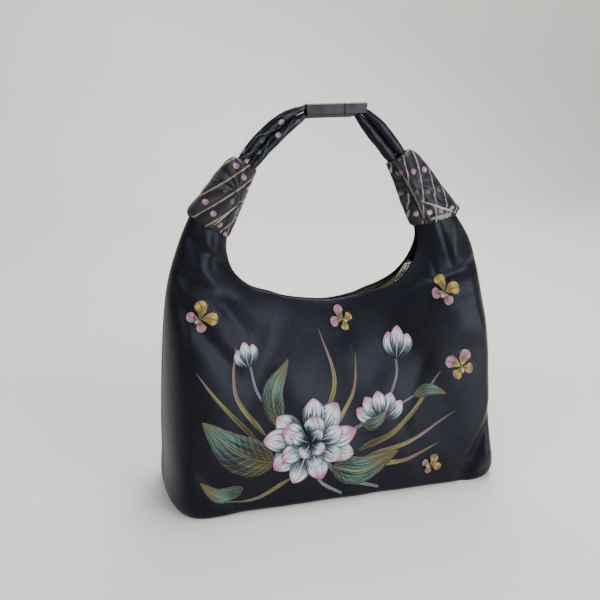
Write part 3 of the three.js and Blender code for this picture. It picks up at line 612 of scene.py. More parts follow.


# %% [markdown]
# ## Printed satin on the knots
# The knots and two of the tubes are of a printed satin: fine pale stripes with a row of
# soft spots between each two, pink and green by turns. It is a plain repeat over the cloth's own
# map. Over it lie painted shadows and painted highlights along the folds and the layers' edges,
# as long ovals, and a painted sheen that lightens the middle of each pleat.


# %% Printed satin
def printed(name, dark, light, folds, turn, stripe, pleats=None, roughness=0.38):
    """Satin with stripes and spots, and over them the folds' painted light and shade. A fold mark is
    u, v, its two reaches in mm, its turn in degrees and two colours that noise mixes: near black
    for a painted shadow beside a layer's edge, pale for a painted highlight on an edge or a fold."""
    material = satin(name, dark, light, roughness)
    tree = material.node_tree
    shader = next(node for node in tree.nodes if node.type == "BSDF_PRINCIPLED")
    colour = shader.inputs["Base Color"].links[0].from_socket
    uv = add(tree, "TexCoord").outputs["UV"]
    rough = add(tree, "TexNoise", {"Scale": 260, "Detail": 3}, {"Vector": uv}).outputs[0]
    hatch = add(tree, "Mapping", {"Scale": (2600, 700, 1), "Rotation": (0, 0, 0.5)}, {"Vector": uv})
    fine = add(tree, "TexNoise", {"Scale": 1, "Detail": 3}, {"Vector": hatch.outputs[0]}).outputs[0]
    if pleats:
        colour = pleat_painted_sheen(tree, uv, colour, rough, *pleats)
    colour = stripes_and_spots(tree, uv, colour, rough, turn, stripe)
    # Each oval paints light or shade over the print: a near-black pair of colours is a painted shadow, a pale
    # pair a painted highlight.
    for u, v, reach_u, reach_v, tilt, painted_deep_colour, painted_pale_colour in folds:
        away = add(tree, "Mapping", {
            "vector_type": "TEXTURE", "Location": (u * MM, v * MM, 0),
            "Rotation": (0, 0, math.radians(tilt)), "Scale": (reach_u * MM, reach_v * MM, 1),
        }, {"Vector": uv})
        far = add(tree, "VectorMath", {"operation": "LENGTH"}, {0: away.outputs[0]})
        edge = add(tree, "Math", {"operation": "MULTIPLY_ADD", 1: 1.6}, {0: rough, 2: far.outputs["Value"]})
        mask = add(tree, "MapRange", {1: 2.0, 2: 1.45, 3: 0, 4: 0.9}, {0: edge.outputs[0]})
        shade = add(tree, "ValToRGB", {"stops": [(0.4, painted_deep_colour), (0.66, painted_pale_colour)]}, {0: fine})
        blend = add(tree, "Mix", {"data_type": "RGBA"}, {0: mask.outputs[0], 6: colour, 7: shade.outputs[0]})
        colour = blend.outputs[2]
    tree.links.new(colour, shader.inputs["Base Color"])
    return material


# The middle of each pleat is lightened by a painted sheen, as light would catch the pleat's crest.
PLEAT_SHEEN = 0.3  # how far the middle of a pleat is lightened
PLEAT_WAVER = 0.3  # how far noise bends a pleat's shade, in pleats
STRIPE_PITCH = 9.5  # mm from one printed stripe to the next
STRIPE_WIDTH = 0.42  # mm, half of a stripe
STRIPE_WAVER = 0.12  # how far noise bends a stripe, in pitches
REPEAT_START = 8  # mm up the cloth, so that no spot falls where the pleats meet
SPOT_STEP = 1.7  # from spot to spot along a row, in pitches
SPOT_EDGES = (0.26, 0.16)  # where a spot's soft edge ends and starts, in pitches
SPOT_ROUGH = 0.16  # how far noise frays that edge, in pitches
SPOT_DEPTH = 0.62  # how far a spot covers the satin


def pleat_painted_sheen(tree, uv, colour, rough, centre, pleats):
    """The angle round the centre, counted in pleats, has a distance to the next whole number, and
    a painted sheen makes the cloth paler the larger that is, as if light caught each pleat's middle."""
    place = add(tree, "Mapping", {"vector_type": "TEXTURE", "Location": (centre[0] * MM, centre[1] * MM, 0)},
                {"Vector": uv})
    axes = add(tree, "SeparateXYZ", {}, {0: place.outputs[0]})
    angle = add(tree, "Math", {"operation": "ARCTAN2"}, {0: axes.outputs[1], 1: axes.outputs[0]})
    turned = add(tree, "Math", {"operation": "MULTIPLY", 1: pleats / (2 * math.pi)}, {0: angle.outputs[0]})
    count = add(tree, "Math", {"operation": "MULTIPLY_ADD", 1: PLEAT_WAVER}, {0: rough, 2: turned.outputs[0]})
    part = add(tree, "Math", {"operation": "PINGPONG", 1: 0.5}, {0: count.outputs[0]})
    middle = add(tree, "MapRange", {1: 0.1, 2: 0.5, 3: 0, 4: PLEAT_SHEEN}, {0: part.outputs[0]})
    # 4a4547 is the colour of the painted sheen on a pleat's middle.
    return add(tree, "Mix", {"data_type": "RGBA", 7: "#4a4547"},
               {0: middle.outputs[0], 6: colour}).outputs[2]


def stripes_and_spots(tree, uv, colour, rough, turn, stripe):
    """Places across and along the stripes are counted in pitches. A stripe lies where the place
    across is near a whole number, and a spot half way between two, at even steps along."""
    place = add(tree, "Mapping", {
        "vector_type": "TEXTURE", "Location": (0, REPEAT_START * MM, 0),
        "Rotation": (0, 0, math.radians(turn)), "Scale": (STRIPE_PITCH * MM, STRIPE_PITCH * MM, 1),
    }, {"Vector": uv})
    axes = add(tree, "SeparateXYZ", {}, {0: place.outputs[0]})
    across = add(tree, "Math", {"operation": "MULTIPLY_ADD", 1: STRIPE_WAVER}, {0: rough, 2: axes.outputs[0]})
    part = add(tree, "Math", {"operation": "PINGPONG", 1: 0.5}, {0: across.outputs[0]})
    half = STRIPE_WIDTH / STRIPE_PITCH
    line = add(tree, "MapRange", {1: half * 1.6, 2: half * 0.5, 3: 0, 4: 1}, {0: part.outputs[0]})
    worn = add(tree, "MapRange", {1: 0.35, 2: 0.6, 3: 0.35, 4: 1}, {0: rough})
    mask = add(tree, "Math", {"operation": "MULTIPLY"}, {0: line.outputs[0], 1: worn.outputs[0]})
    striped = add(tree, "Mix", {"data_type": "RGBA", 7: stripe}, {0: mask.outputs[0], 6: colour}).outputs[2]
    beside = add(tree, "Math", {"operation": "SUBTRACT", 0: 0.5}, {1: part.outputs[0]})
    along = add(tree, "Math", {"operation": "PINGPONG", 1: SPOT_STEP / 2}, {0: axes.outputs[1]})
    offset = add(tree, "CombineXYZ", {}, {0: beside.outputs[0], 1: along.outputs[0]})
    far = add(tree, "VectorMath", {"operation": "LENGTH"}, {0: offset.outputs[0]})
    edge = add(tree, "Math", {"operation": "MULTIPLY_ADD", 1: SPOT_ROUGH},
               {0: rough, 2: far.outputs["Value"]})
    spot = add(tree, "MapRange", {1: SPOT_EDGES[0] + SPOT_ROUGH / 2, 2: SPOT_EDGES[1] + SPOT_ROUGH / 2,
                                    3: 0, 4: SPOT_DEPTH},
               {0: edge.outputs[0]})
    pink = add(tree, "ValToRGB", {"stops": [(0.4, "#8e5f7c"), (0.62, "#d9a9c4")]}, {0: rough})
    green = add(tree, "ValToRGB", {"stops": [(0.4, "#26332b"), (0.62, "#6d7f6f")]}, {0: rough})
    by_turns = add(tree, "Math", {"operation": "PINGPONG", 1: SPOT_STEP}, {0: axes.outputs[1]})
    which = add(tree, "Math", {"operation": "GREATER_THAN", 1: SPOT_STEP / 2}, {0: by_turns.outputs[0]})
    both = add(tree, "Mix", {"data_type": "RGBA"},
               {0: which.outputs[0], 6: pink.outputs[0], 7: green.outputs[0]})
    return add(tree, "Mix", {"data_type": "RGBA"},
               {0: spot.outputs[0], 6: striped, 7: both.outputs[2]}).outputs[2]


# The knots' ovals are painted light and shade: the near-black ones are painted shadows beside the layers'
# edges, and the pale ones are painted highlights on those edges, on the right knot's rim and along one of its
# folds.
knot_cloth = {
    "left": printed("knot_satin_left", "#0f0c0c", "#1e1a1a", [
        (-6.6, 15, 13, 1.3, 112, "#050506", "#0b0b0d"),
        (-5.4, 15.5, 12, 0.6, 112, "#6d6c58", "#c9c6ad"),
    ], 28, "#858269", (KNOTS["left"]["button"], KNOTS["left"]["pleats"])),
    "right": printed("knot_satin_right", "#0e0e12", "#1f1f25", [
        (-10.2, 26, 27, 1.2, 87, "#050506", "#0b0b0d"),
        (-8.9, 27, 26, 0.5, 87, "#4c4b41", "#8d8b7d"),
        (3, 1.6, 10, 1.7, -20, "#4c5048", "#a2a69a"),
        (4.2, 9.2, 16, 0.8, -49, "#7d7f78", "#d4d5cd"),
    ], -24, "#8b8d81", (KNOTS["right"]["button"], KNOTS["right"]["pleats"])),
}
for name in KNOTS:
    skin, place = knot_skin(name)
    knot = make_piece(f"knot_{name}_folds", [sheet(skin, place, ring=True, closed=True)],
                      knot_cloth[name], [f"knot_{name}"])

# %% [markdown]
# ## The rolled tubes
# Each handle tube is a strip of satin rolled round a soft core and sewn shut. A pair leaves its
# knot, bows over and goes straight into a sleeve, where both are crimped. The line is a cubic
# Bezier between two short straight ends, and the radius follows a short table of stations.

# %% Tubes
CORD_RADIUS = 4
CORD_GAP = 0.4
CORD_INSET = 2
CORD_DROP_RIGHT = 1.4
CORD_TUCK = 9
CORD_CRIMPED = 5
CORD_BOW = 0.32
HANDLE_TOP = 292.8
SLEEVE_HEIGHT = 10.4
SLEEVE_DEPTH = 9
SLEEVE_LONG = 28.6
SLEEVE_SHORT = 17.6
SLEEVE_START = -20.4
SLEEVE_SEAM = 0.3
SLEEVE_MITRE = 12.4
SLEEVE_MIDDLE = HANDLE_TOP - SLEEVE_HEIGHT / 2
SLEEVE_END = SLEEVE_START + SLEEVE_LONG + SLEEVE_SEAM + SLEEVE_SHORT
PAIR_MOUTH = {"left": (SLEEVE_START, 0), "right": (SLEEVE_END - SLEEVE_MITRE / 2, -CORD_DROP_RIGHT)}
PAIR_ANGLES = {"left": (50, 20), "right": (128, 141)}  # at the knot and at the sleeve
STATIONS = np.array([
    [0, 0.78], [0.5, 0.82], [1, 0.9], [1.08, 0.97], [1.16, 1], [1.26, 1], [1.36, 1], [1.46, 1],
    [1.56, 1], [1.66, 0.95], [1.75, 0.88], [1.83, 0.8], [1.9, 0.72], [1.98, 0.57],
    [2.35, 0.5], [3, 0.5],
])
CORD_AROUND = 36
CORD_STEPS = 150


def direction(degrees):
    return np.array([math.cos(math.radians(degrees)), 0, math.sin(math.radians(degrees))])


def pair_line(name):
    """Points of a pair's middle line and their places from 0 to 3: straight from inside the knot
    to its top, a cubic Bezier to the sleeve's mouth, and straight to its crimped end."""
    _, axis, outside, top = knot_frame(name)
    top = top - outside * CORD_INSET
    mouth = np.array([PAIR_MOUTH[name][0], 0, SLEEVE_MIDDLE + PAIR_MOUTH[name][1]])
    leave, arrive = (direction(angle) for angle in PAIR_ANGLES[name])
    bow = np.linalg.norm(mouth - top) * CORD_BOW
    end = np.array([mouth[0] + math.copysign(CORD_CRIMPED, arrive[0]), 0, SLEEVE_MIDDLE])
    t = np.linspace(0, 1, CORD_STEPS)[:, None]
    bend = ((1 - t) ** 3 * top + 3 * (1 - t) ** 2 * t * (top + leave * bow)
            + 3 * (1 - t) * t ** 2 * (mouth - arrive * bow) + t ** 3 * mouth)
    first = mix(top - axis * CORD_TUCK, top, np.linspace(0, 1, 9, endpoint=False)[:, None])
    last = mix(mouth, end, np.linspace(0, 1, 9)[1:, None])
    places = np.concatenate([np.linspace(0, 1, 9, endpoint=False), 1 + t[:, 0], np.linspace(2, 3, 9)[1:]])
    return np.concatenate([first, bend, last]), places


def tube(line, radius, up, around, depth=1.0):
    """Rings round a line: radius times the cosine of the angle along up, and times the sine and
    depth along Y. Its poles are the end rings drawn to a point."""
    turn = np.linspace(0, 2 * math.pi, around, endpoint=False)
    high, wide = np.cos(turn), np.sin(turn) * depth
    rings = line[:, None, :] + radius[:, :, None] * (
        high[None, :, None] * up[:, None, :] + wide[None, :, None] * np.array([0, 1, 0]))
    first, last = (np.repeat(line[end, None], around, 1) for end in (slice(0, 1), slice(-1, None)))
    return np.concatenate([first, rings, last])


def rolled_tube(name, way):
    """One tube of a pair. Its centre lies one radius above or below the pair's line, and its
    radius wavers a little where the cloth twists round the core."""
    line, places = pair_line(name)
    along = np.gradient(line, axis=0)
    along /= np.linalg.norm(along, axis=1, keepdims=True)
    up = np.stack([-along[:, 2], np.zeros(len(along)), along[:, 0]], -1) * np.sign(along[:, :1])
    radius = CORD_RADIUS * np.interp(places, STATIONS[:, 0], STATIONS[:, 1])
    length = np.concatenate([[0], np.cumsum(np.linalg.norm(np.diff(line, axis=0), axis=1))])
    turn = np.linspace(0, 2 * math.pi, CORD_AROUND, endpoint=False)[None, :]
    free = ease((places - 1.02) / 0.1) * ease((1.97 - places) / 0.15)
    twist = np.sin(turn * 2 + length[:, None] / 4.1 + way) * 0.025
    twist = twist + np.sin(turn * 5 - length[:, None] / 2.3) * 0.012
    flat = 1 + 0.055 * np.cos(turn * 2)
    uneven = radius[:, None] * (1 + (twist + flat - 1) * free[:, None])
    centre = line + up * (way * (radius + CORD_GAP / 2))[:, None]
    rings = tube(centre, uneven, up, CORD_AROUND)
    v = np.concatenate([[0], length, length[-1:]])[:, None] * MM
    u = np.linspace(-1, 1, CORD_AROUND)[None, :] * CORD_RADIUS * math.pi * MM
    return lean(rings), np.stack(np.broadcast_arrays(u, v), -1)


cord_cloth = {
    ("left", way): printed(f"cord_satin_{way}", "#060609", "#0c0c11", [], turn, "#3c4038", roughness=0.24)
    for way, turn in (("outer", 28), ("inner", -24))
}
plain_cord = satin("cord_satin_black", "#060609", "#0c0c11", roughness=0.24, pitch=0.7)
for name in KNOTS:
    for tube_name, way in (("outer", 1), ("inner", -1)):
        rings, uv = rolled_tube(name, way)
        cord = make_piece(f"cord_{name}_{tube_name}_roll", [sheet(rings, uv, ring=True)],
                          cord_cloth.get((name, tube_name), plain_cord),
                          [f"cord_{name}_{tube_name}"], weld=True)

# %% [markdown]
# ## The metal sleeves
# Two sleeves of folded sheet metal meet end to end at the top of the handle: a long one, and a
# short one whose underside is cut back where the right tubes go in. Each is a strip bent round a
# low house shape, so it is an outline carried along X, open at its mouth and closed at the seam.

# %% Sleeves
SLEEVE_OUTLINE = np.array([
    # depth and height as shares of the half sizes
    [0.6, 1], [1, 0.8], [1, -0.54], [0, -1], [-1, -0.54], [-1, 0.8], [-0.6, 1],
])
MITRE_HOOK = 9
SLEEVE_WALL = 0.8
SLEEVE_BEVEL = 0.3


def gunmetal():
    """Brushed and blackened steel: a dark metal whose roughness is drawn out along X in hairlines
    a tenth of a millimetre apart, shown three times as coarse."""
    material, tree, shader = new_material("gunmetal_brushed", {"Metallic": 1.0, "Roughness": 0.3})
    place = add(tree, "TexCoord").outputs["Object"]
    grain = add(tree, "Mapping", {"Scale": (60, 3000, 3000)}, {"Vector": place})
    lines = add(tree, "TexNoise", {"Scale": 1, "Detail": 3}, {"Vector": grain.outputs[0]})
    worn = add(tree, "TexNoise", {"Scale": 90, "Detail": 2}, {"Vector": place})
    tone = add(tree, "ValToRGB", {"stops": [(0.3, "#1f1e21"), (0.7, "#2b2a2d")]}, {0: worn.outputs[0]})
    gloss = add(tree, "MapRange", {3: 0.24, 4: 0.42}, {0: lines.outputs[0]})
    bump = add(tree, "Bump", {"Strength": 0.15, "Distance": 0.02 * MM}, {"Height": lines.outputs[0]})
    tree.links.new(tone.outputs[0], shader.inputs["Base Color"])
    tree.links.new(gloss.outputs[0], shader.inputs["Roughness"])
    tree.links.new(bump.outputs[0], shader.inputs["Normal"])
    return material


def sleeve_rings(mouth, seam, mitre):
    """Rings of the outline from the mouth to the seam, the last one drawn to a point as a cap. A
    mouth with a mitre is cut back by the cube of how low the point lies on the outline."""
    deep = SLEEVE_OUTLINE[:, 0] * SLEEVE_DEPTH / 2
    high = SLEEVE_MIDDLE + SLEEVE_OUTLINE[:, 1] * SLEEVE_HEIGHT / 2
    cut = mitre * ((1 - SLEEVE_OUTLINE[:, 1]) / 2) ** MITRE_HOOK
    rings = []
    for share in (0, 0.5, 1, 1):
        x = mix(mouth - cut, seam, share)
        rings.append(np.stack([x, deep, high], -1))
    middle = np.array([seam, 0, SLEEVE_MIDDLE])
    rings[3] = np.repeat(middle[None], len(deep), 0)
    return lean(np.stack(rings))


sleeve_metal = gunmetal()
seam_x = SLEEVE_START + SLEEVE_LONG
for name, mouth, seam, mitre in (
    ("long", SLEEVE_START, seam_x, 0),
    ("short", SLEEVE_END, seam_x + SLEEVE_SEAM, SLEEVE_MITRE),
):
    sleeve = make_piece(f"sleeve_{name}_shell", [sheet(sleeve_rings(mouth, seam, mitre), ring=True)],
                        sleeve_metal, [f"sleeve_{name}"], weld=True)
    shell = sleeve.modifiers.new("wall", "SOLIDIFY")
    shell.thickness, shell.offset, shell.use_even_offset = SLEEVE_WALL * MM, -1, True
    edge = sleeve.modifiers.new("edges", "BEVEL")
    edge.width, edge.segments, edge.limit_method = SLEEVE_BEVEL * MM, 2, "ANGLE"
    sleeve.data.polygons.foreach_set("use_smooth", [False] * len(sleeve.data.polygons))

# %% [markdown]
# ## The zip
# The zip is sewn inside the lips. Each tape is a strip of twill from the wall to the teeth, the
# teeth are two rows that mesh like fingers, and the slider waits at the right end with its pull
# lying back along the chain. The teeth are one small block copied by array sums, because a
# modifier would bend each tooth on the curve.

# %% Zip line
ZIP_FROM = 3
CHAIN_WIDTH = 5
CHAIN_THICK = 1.8
TAPE_CLEARANCE = 0.35
TAPE_THICK = 0.8
SEWN_STEPS = (0.02, 0.04, 0.06)


def sewing_line(side):
    """Points of the wall's inside where a tape is sewn on: the outside moved in by the wall, square
    to the surface there, and then by the clearance."""
    rows = wall(zip_places, SEWN_STEPS, side)
    down, beside = rows[2] - rows[0], np.gradient(rows[1], axis=0)
    outward = np.cross(down, beside) * -side
    outward /= np.linalg.norm(outward, axis=1, keepdims=True)
    sewn = rows[1] - outward * WALL
    return sewn - np.array([0, side * TAPE_CLEARANCE, 0])


zip_places = np.linspace(ZIP_FROM, len(fan_sections) - 1 - ZIP_FROM, 181)
sewn = {side: sewing_line(side) for side in (-1, 1)}
chain_line = sewn[-1].copy()
chain_line[:, 1] = 0
chain_line[:, 2] -= 0.5
print("zip from x", chain_line[0, 0].round(1), "to", chain_line[-1, 0].round(1))


# %% [markdown]
# ### Tapes and teeth

# %% Tapes and teeth
TOOTH_PITCH = 2.3
TOOTH_LONG = 1.25
TOOTH_NOSE = 0.9  # how far a tooth reaches past the middle
tape_cloth = satin("zip_twill", "#4b4535", "#5e5743", roughness=0.7, sheen=0.1, pitch=1.1)


def tape_strip(side):
    """A strip between the sewing line and the teeth, dipping a little in its middle."""
    share = np.linspace(0, 1, 7)[:, None, None]
    free = sewn[side].copy()
    free[:, 1] = side * (CHAIN_WIDTH / 2 - TOOTH_NOSE)
    strip = mix(sewn[side][None], free[None], share)
    strip[..., 2] -= 0.4 * np.sin(math.pi * share[..., 0])
    return strip


for side, name in ((-1, "front"), (1, "back")):
    strip = tape_strip(side)
    tape = make_piece(f"zip_tape_{name}_twill", [sheet(strip[::-side])], tape_cloth,
                      [f"zip_tape_{name}"])
    shell = tape.modifiers.new("wall", "SOLIDIFY")
    shell.thickness, shell.offset = TAPE_THICK * MM, -1


def nickel():
    """Polished nickel: a pale metal, a little warm, with faint clouds of finger marks."""
    material, tree, shader = new_material("nickel_polished", {"Metallic": 1.0, "Roughness": 0.2})
    place = add(tree, "TexCoord").outputs["Object"]
    clouds = add(tree, "TexNoise", {"Scale": 300, "Detail": 2}, {"Vector": place})
    tone = add(tree, "ValToRGB", {"stops": [(0.3, "#9b978d"), (0.7, "#b5b1a6")]}, {0: clouds.outputs[0]})
    gloss = add(tree, "MapRange", {3: 0.14, 4: 0.32}, {0: clouds.outputs[0]})
    tree.links.new(tone.outputs[0], shader.inputs["Base Color"])
    tree.links.new(gloss.outputs[0], shader.inputs["Roughness"])
    return material


def along_line(line, places):
    """Points and directions at lengths along a line, by straight sums between its points."""
    length = np.concatenate([[0], np.cumsum(np.linalg.norm(np.diff(line, axis=0), axis=1))])
    points = np.stack([np.interp(places, length, line[:, k]) for k in range(3)], -1)
    ahead = np.stack([np.interp(places + 0.5, length, line[:, k]) for k in range(3)], -1)
    back = np.stack([np.interp(places - 0.5, length, line[:, k]) for k in range(3)], -1)
    way = (ahead - back) / np.linalg.norm(ahead - back, axis=1, keepdims=True)
    return points, way, length[-1]


def teeth():
    """Rings (one for each tooth's four steps across) of small blocks: a tooth of one tape lies
    between two of the other, thick at the tape and blunt at its nose."""
    total = along_line(chain_line, np.zeros(1))[2]
    places = np.arange(TOOTH_PITCH / 2, total - TOOTH_PITCH / 2, TOOTH_PITCH / 2)
    points, way, _ = along_line(chain_line, places)
    side = np.where(np.arange(len(places)) % 2, 1.0, -1.0)[:, None, None]
    up = np.stack([-way[:, 2], np.zeros(len(way)), way[:, 0]], -1)
    across = np.array([CHAIN_WIDTH / 2, 1.4, 0.2, -TOOTH_NOSE])
    long = np.array([0.75, 1, 1, 0.55]) * TOOTH_LONG / 2
    thick = np.array([0.8, 1, 1, 0.6]) * CHAIN_THICK / 2
    corners = np.array([[-1, 1], [1, 1], [1, -1], [-1, -1]])
    blocks = (points[:, None, None, :]
              + (side * across[None, :, None])[..., None] * np.array([0, 1, 0])
              + (long[:, None] * corners[None, :, 0])[None, ..., None] * way[:, None, None, :]
              + (thick[:, None] * corners[None, :, 1])[None, ..., None] * up[:, None, None, :])
    caps = blocks.mean(2, keepdims=True).repeat(4, 2)
    return np.concatenate([caps[:, :1], blocks, caps[:, -1:]], 1)


zip_metal = nickel()
blocks = teeth()
make_piece("zip_teeth", [sheet(block, ring=True) for block in blocks], zip_metal,
           ["zip_chain"], weld=True)
print(len(blocks), "teeth")

# %% [markdown]
# ### Slider and pull
# The slider is two plates with the chain between them and a bridge on top, which holds the pull.

# %% Slider
SLIDER_INSET = 6
SLIDER_LENGTH = 9
SLIDER_WIDTH = 7
PULL_LENGTH = 12
PULL_WIDTH = 2.4
PLATE_AROUND = 40  # points round a plate


def plate(length, width, levels, waist):
    """A plate with round corners: a superellipse outline, drawn in at its middle by waist, at each
    level's height and size, with its first and last levels drawn to a point."""
    turn = np.linspace(0, 2 * math.pi, PLATE_AROUND, endpoint=False)
    along = np.sign(np.cos(turn)) * np.abs(np.cos(turn)) ** 0.6 * length / 2
    across = np.sign(np.sin(turn)) * np.abs(np.sin(turn)) ** 0.6 * width / 2
    across = across * (1 - waist * np.cos(turn) ** 2)
    heights, sizes = np.array(levels).T[:, :, None]
    flat = np.zeros(PLATE_AROUND)
    return np.stack([along * sizes, across * sizes, heights + flat], -1)


def on_chain(points, place, lift=0.0, tilt=0.0):
    """Puts points drawn flat (along, across, up) on the chain at a length from its right end."""
    total = along_line(chain_line, np.zeros(1))[2]
    centre, way, _ = along_line(chain_line, np.array([total - place]))
    angle = math.atan2(way[0, 2], way[0, 0]) + tilt
    along = np.array([math.cos(angle), 0, math.sin(angle)])
    up = np.array([-along[2], 0, along[0]])
    lifted = points[..., :1] * along + (points[..., 2:] + lift) * up
    return centre[0] + lifted + points[..., 1:2] * np.array([0, 1, 0])


levels = [(0, 0), (0, 0.9), (0.15, 1), (0.85, 1), (1, 0.9), (1, 0)]
slider_plate = plate(SLIDER_LENGTH, SLIDER_WIDTH, levels, waist=0.25)
bow = np.linspace(0, math.pi, 15)
bridge_line = np.stack([-np.cos(bow) * 2.6, np.zeros(15), 1 + np.sin(bow) * 2], -1)
bridge_up = np.stack([-np.cos(bow), np.zeros(15), np.sin(bow)], -1)
bridge = tube(bridge_line, np.full((15, 12), 0.55), bridge_up, 12, depth=2)
pull_levels = [(0, 0), (0, 0.92), (0.12, 1), (0.68, 1), (0.8, 0.92), (0.8, 0)]
pull = plate(PULL_LENGTH, PULL_WIDTH, pull_levels, waist=0.2)
slider_sheets = [
    sheet(on_chain(slider_plate, SLIDER_INSET, lift=1.2), ring=True),
    sheet(on_chain(slider_plate, SLIDER_INSET, lift=-2.2), ring=True),
    sheet(on_chain(bridge, SLIDER_INSET, lift=1.2), ring=True),
    sheet(on_chain(pull, SLIDER_INSET + PULL_LENGTH / 2 - 1, lift=3.0, tilt=0.12), ring=True),
]
make_piece("zip_slider_pull", slider_sheets, zip_metal, ["zip_slider"], weld=True)

# %% [markdown]
# ## The woven spray
# The front is woven with a spray of flowers, leaves and grass, and small moths fly round it. Each
# petal, leaf or blade is a narrow flat grid about its own centre line. The front's height is read
# once, by throwing a plane of points on to the satin with a Shrinkwrap modifier, and then every
# grid is laid on that height with numpy. A picture on the cloth's map would be the other way, but
# grids stay crisp from any distance.

# %% Height of the front
PRINT_LIFT = 0.14  # mm of the lowest motif over the satin
PRINT_STEP = 0.012  # mm between a motif and the one laid before it
HEIGHT_CELL = 1.0
HEIGHT_FROM, HEIGHT_TO = (-132, 3), (122, 196)
PLANE_AWAY = -90


def read_heights():
    """A grid of the satin's Y over X and Z, one value a millimetre."""
    x = np.arange(HEIGHT_FROM[0], HEIGHT_TO[0] + 1, HEIGHT_CELL)
    z = np.arange(HEIGHT_FROM[1], HEIGHT_TO[1] + 1, HEIGHT_CELL)
    points = np.stack([*np.meshgrid(x, [PLANE_AWAY], z, indexing="ij")], -1).reshape(-1, 3) * MM
    mesh = bpy.data.meshes.new("height_probe")
    mesh.from_pydata(points.tolist(), [], [])
    probe = bpy.data.objects.new("height_probe", mesh)
    bpy.context.scene.collection.objects.link(probe)
    throw = probe.modifiers.new("throw", "SHRINKWRAP")
    throw.target, throw.wrap_method, throw.use_project_y = body, "PROJECT", True
    found = probe.evaluated_get(bpy.context.evaluated_depsgraph_get()).to_mesh()
    values = np.empty(len(points) * 3, np.float32)
    found.vertices.foreach_get("co", values)
    bpy.data.objects.remove(probe)
    bpy.data.meshes.remove(mesh)
    return values.reshape(len(x), len(z), 3)[..., 1] / MM


heights = read_heights()
slopes = np.stack(np.gradient(heights, HEIGHT_CELL), -1)
print("front from y", heights.min().round(1), "to", heights.max().round(1))


def on_satin(flat, lift):
    """Flat (x, z) points on the satin: height and slopes are weighed between the four nearest
    samples, and the point is lifted along the normal (slope in x, -1, slope in z)."""
    place = (flat - HEIGHT_FROM) / HEIGHT_CELL
    low = np.clip(place.astype(int), 0, np.array(heights.shape) - 2)
    part = np.clip(place - low, 0, 1)
    i, j = low[..., 0], low[..., 1]
    s, t = part[..., :1], part[..., 1:]
    table = np.concatenate([heights[..., None], slopes], -1)
    value = mix(mix(table[i, j], table[i + 1, j], s), mix(table[i, j + 1], table[i + 1, j + 1], s), t)
    normal = np.stack([value[..., 1], -np.ones_like(value[..., 0]), value[..., 2]], -1)
    normal /= np.linalg.norm(normal, axis=-1, keepdims=True)
    return np.stack([flat[..., 0], value[..., 0], flat[..., 1]], -1) + normal * lift


# %% [markdown]
# ### Motifs
# A motif is a centre line, a half width and a profile of the width along the line.

# %% Motifs
PROFILES = {
    "petal": lambda v: np.sin(math.pi * v ** 1.25) ** 0.7,
    "leaf": lambda v: np.sin(math.pi * v ** 0.7) ** 0.85 * (1 - 0.05 * np.abs(np.sin(22 * v))),
    "blade": lambda v: np.minimum(1, 5 * v + 0.25) * (1 - v) ** 0.65,
    "stem": lambda v: 1 - 0.35 * v,
    "wing": lambda v: np.sin(math.pi * v ** 1.9) ** 0.55 * (1 - 0.1 * np.abs(np.sin(16 * v))),
}
motifs = {kind: [] for kind in PROFILES}


def motif(kind, points, half, tint=0.5, rows=26, columns=9):
    """Lays one motif: v runs along the smoothed line and u from -1 to 1 across it. The grid goes
    round from the top face to an under face on the satin, so it is a thin closed piece."""
    laid = sum(len(sheets) for sheets in motifs.values()) + 1
    v, u = np.linspace(0, 1, rows), np.linspace(-1, 1, columns)
    line = smooth(np.array(points, float), v * (len(points) - 1))
    way = np.gradient(line, axis=0)
    way /= np.linalg.norm(way, axis=1, keepdims=True)
    beside = np.stack([way[:, 1], -way[:, 0]], -1)
    reach = (half * PROFILES[kind](v))[:, None] * u
    flat = line[:, None] + beside[:, None] * reach[..., None]
    top = on_satin(flat, PRINT_LIFT + PRINT_STEP * laid)
    under = on_satin(flat, 0.02)
    uv = np.stack(np.broadcast_arrays(u[None], v[:, None]), -1)
    grid = np.concatenate([top, under[:, ::-1]], 1)
    motifs[kind].append(sheet(grid, np.concatenate([uv, uv[:, ::-1]], 1), tint, ring=True))


def spoke(centre, angle, start, length, bend=0.0, squash=1.0):
    """Three points of a line that leaves a centre and bends to one side."""
    way, side = direction(angle)[[0, 2]], direction(angle + 90)[[0, 2]]
    shape = np.array([1, squash])
    return [np.array(centre) + shape * (way * (start + length * share) + side * bend * lean_share)
            for share, lean_share in ((0, 0), (0.5, 1), (1, 0.4))]


def flower(centre, rings, squash, seed):
    """Rings of petals (number, start, length, half width, first angle) with uneven steps."""
    draw = np.random.default_rng(seed)
    for number, start, length, half, first in rings:
        for k in draw.permutation(number):
            angle = first + 360 * k / number + draw.uniform(-7, 7)
            long = length * draw.uniform(0.86, 1.1)
            motif("petal", spoke(centre, angle, start, long, draw.uniform(-2, 2), squash),
                  half * draw.uniform(0.9, 1.1), draw.random())


def moth(centre, turn, size, tint):
    """Two pairs of wings, a body and two feelers."""
    for side in (-1, 1):
        motif("wing", spoke(centre, turn + side * 118, 0.4, size * 0.8, side), size * 0.36, 1 - tint)
        motif("wing", spoke(centre, turn + side * 52, 0.4, size * 1.1, side * -1.6), size * 0.42, tint)
        motif("stem", spoke(centre, turn + side * 14, size * 0.25, size * 0.8, side), 0.3, 0.9, 16, 4)
    motif("petal", spoke(centre, turn + 180, -size * 0.3, size * 0.75), size * 0.09, 0.1)


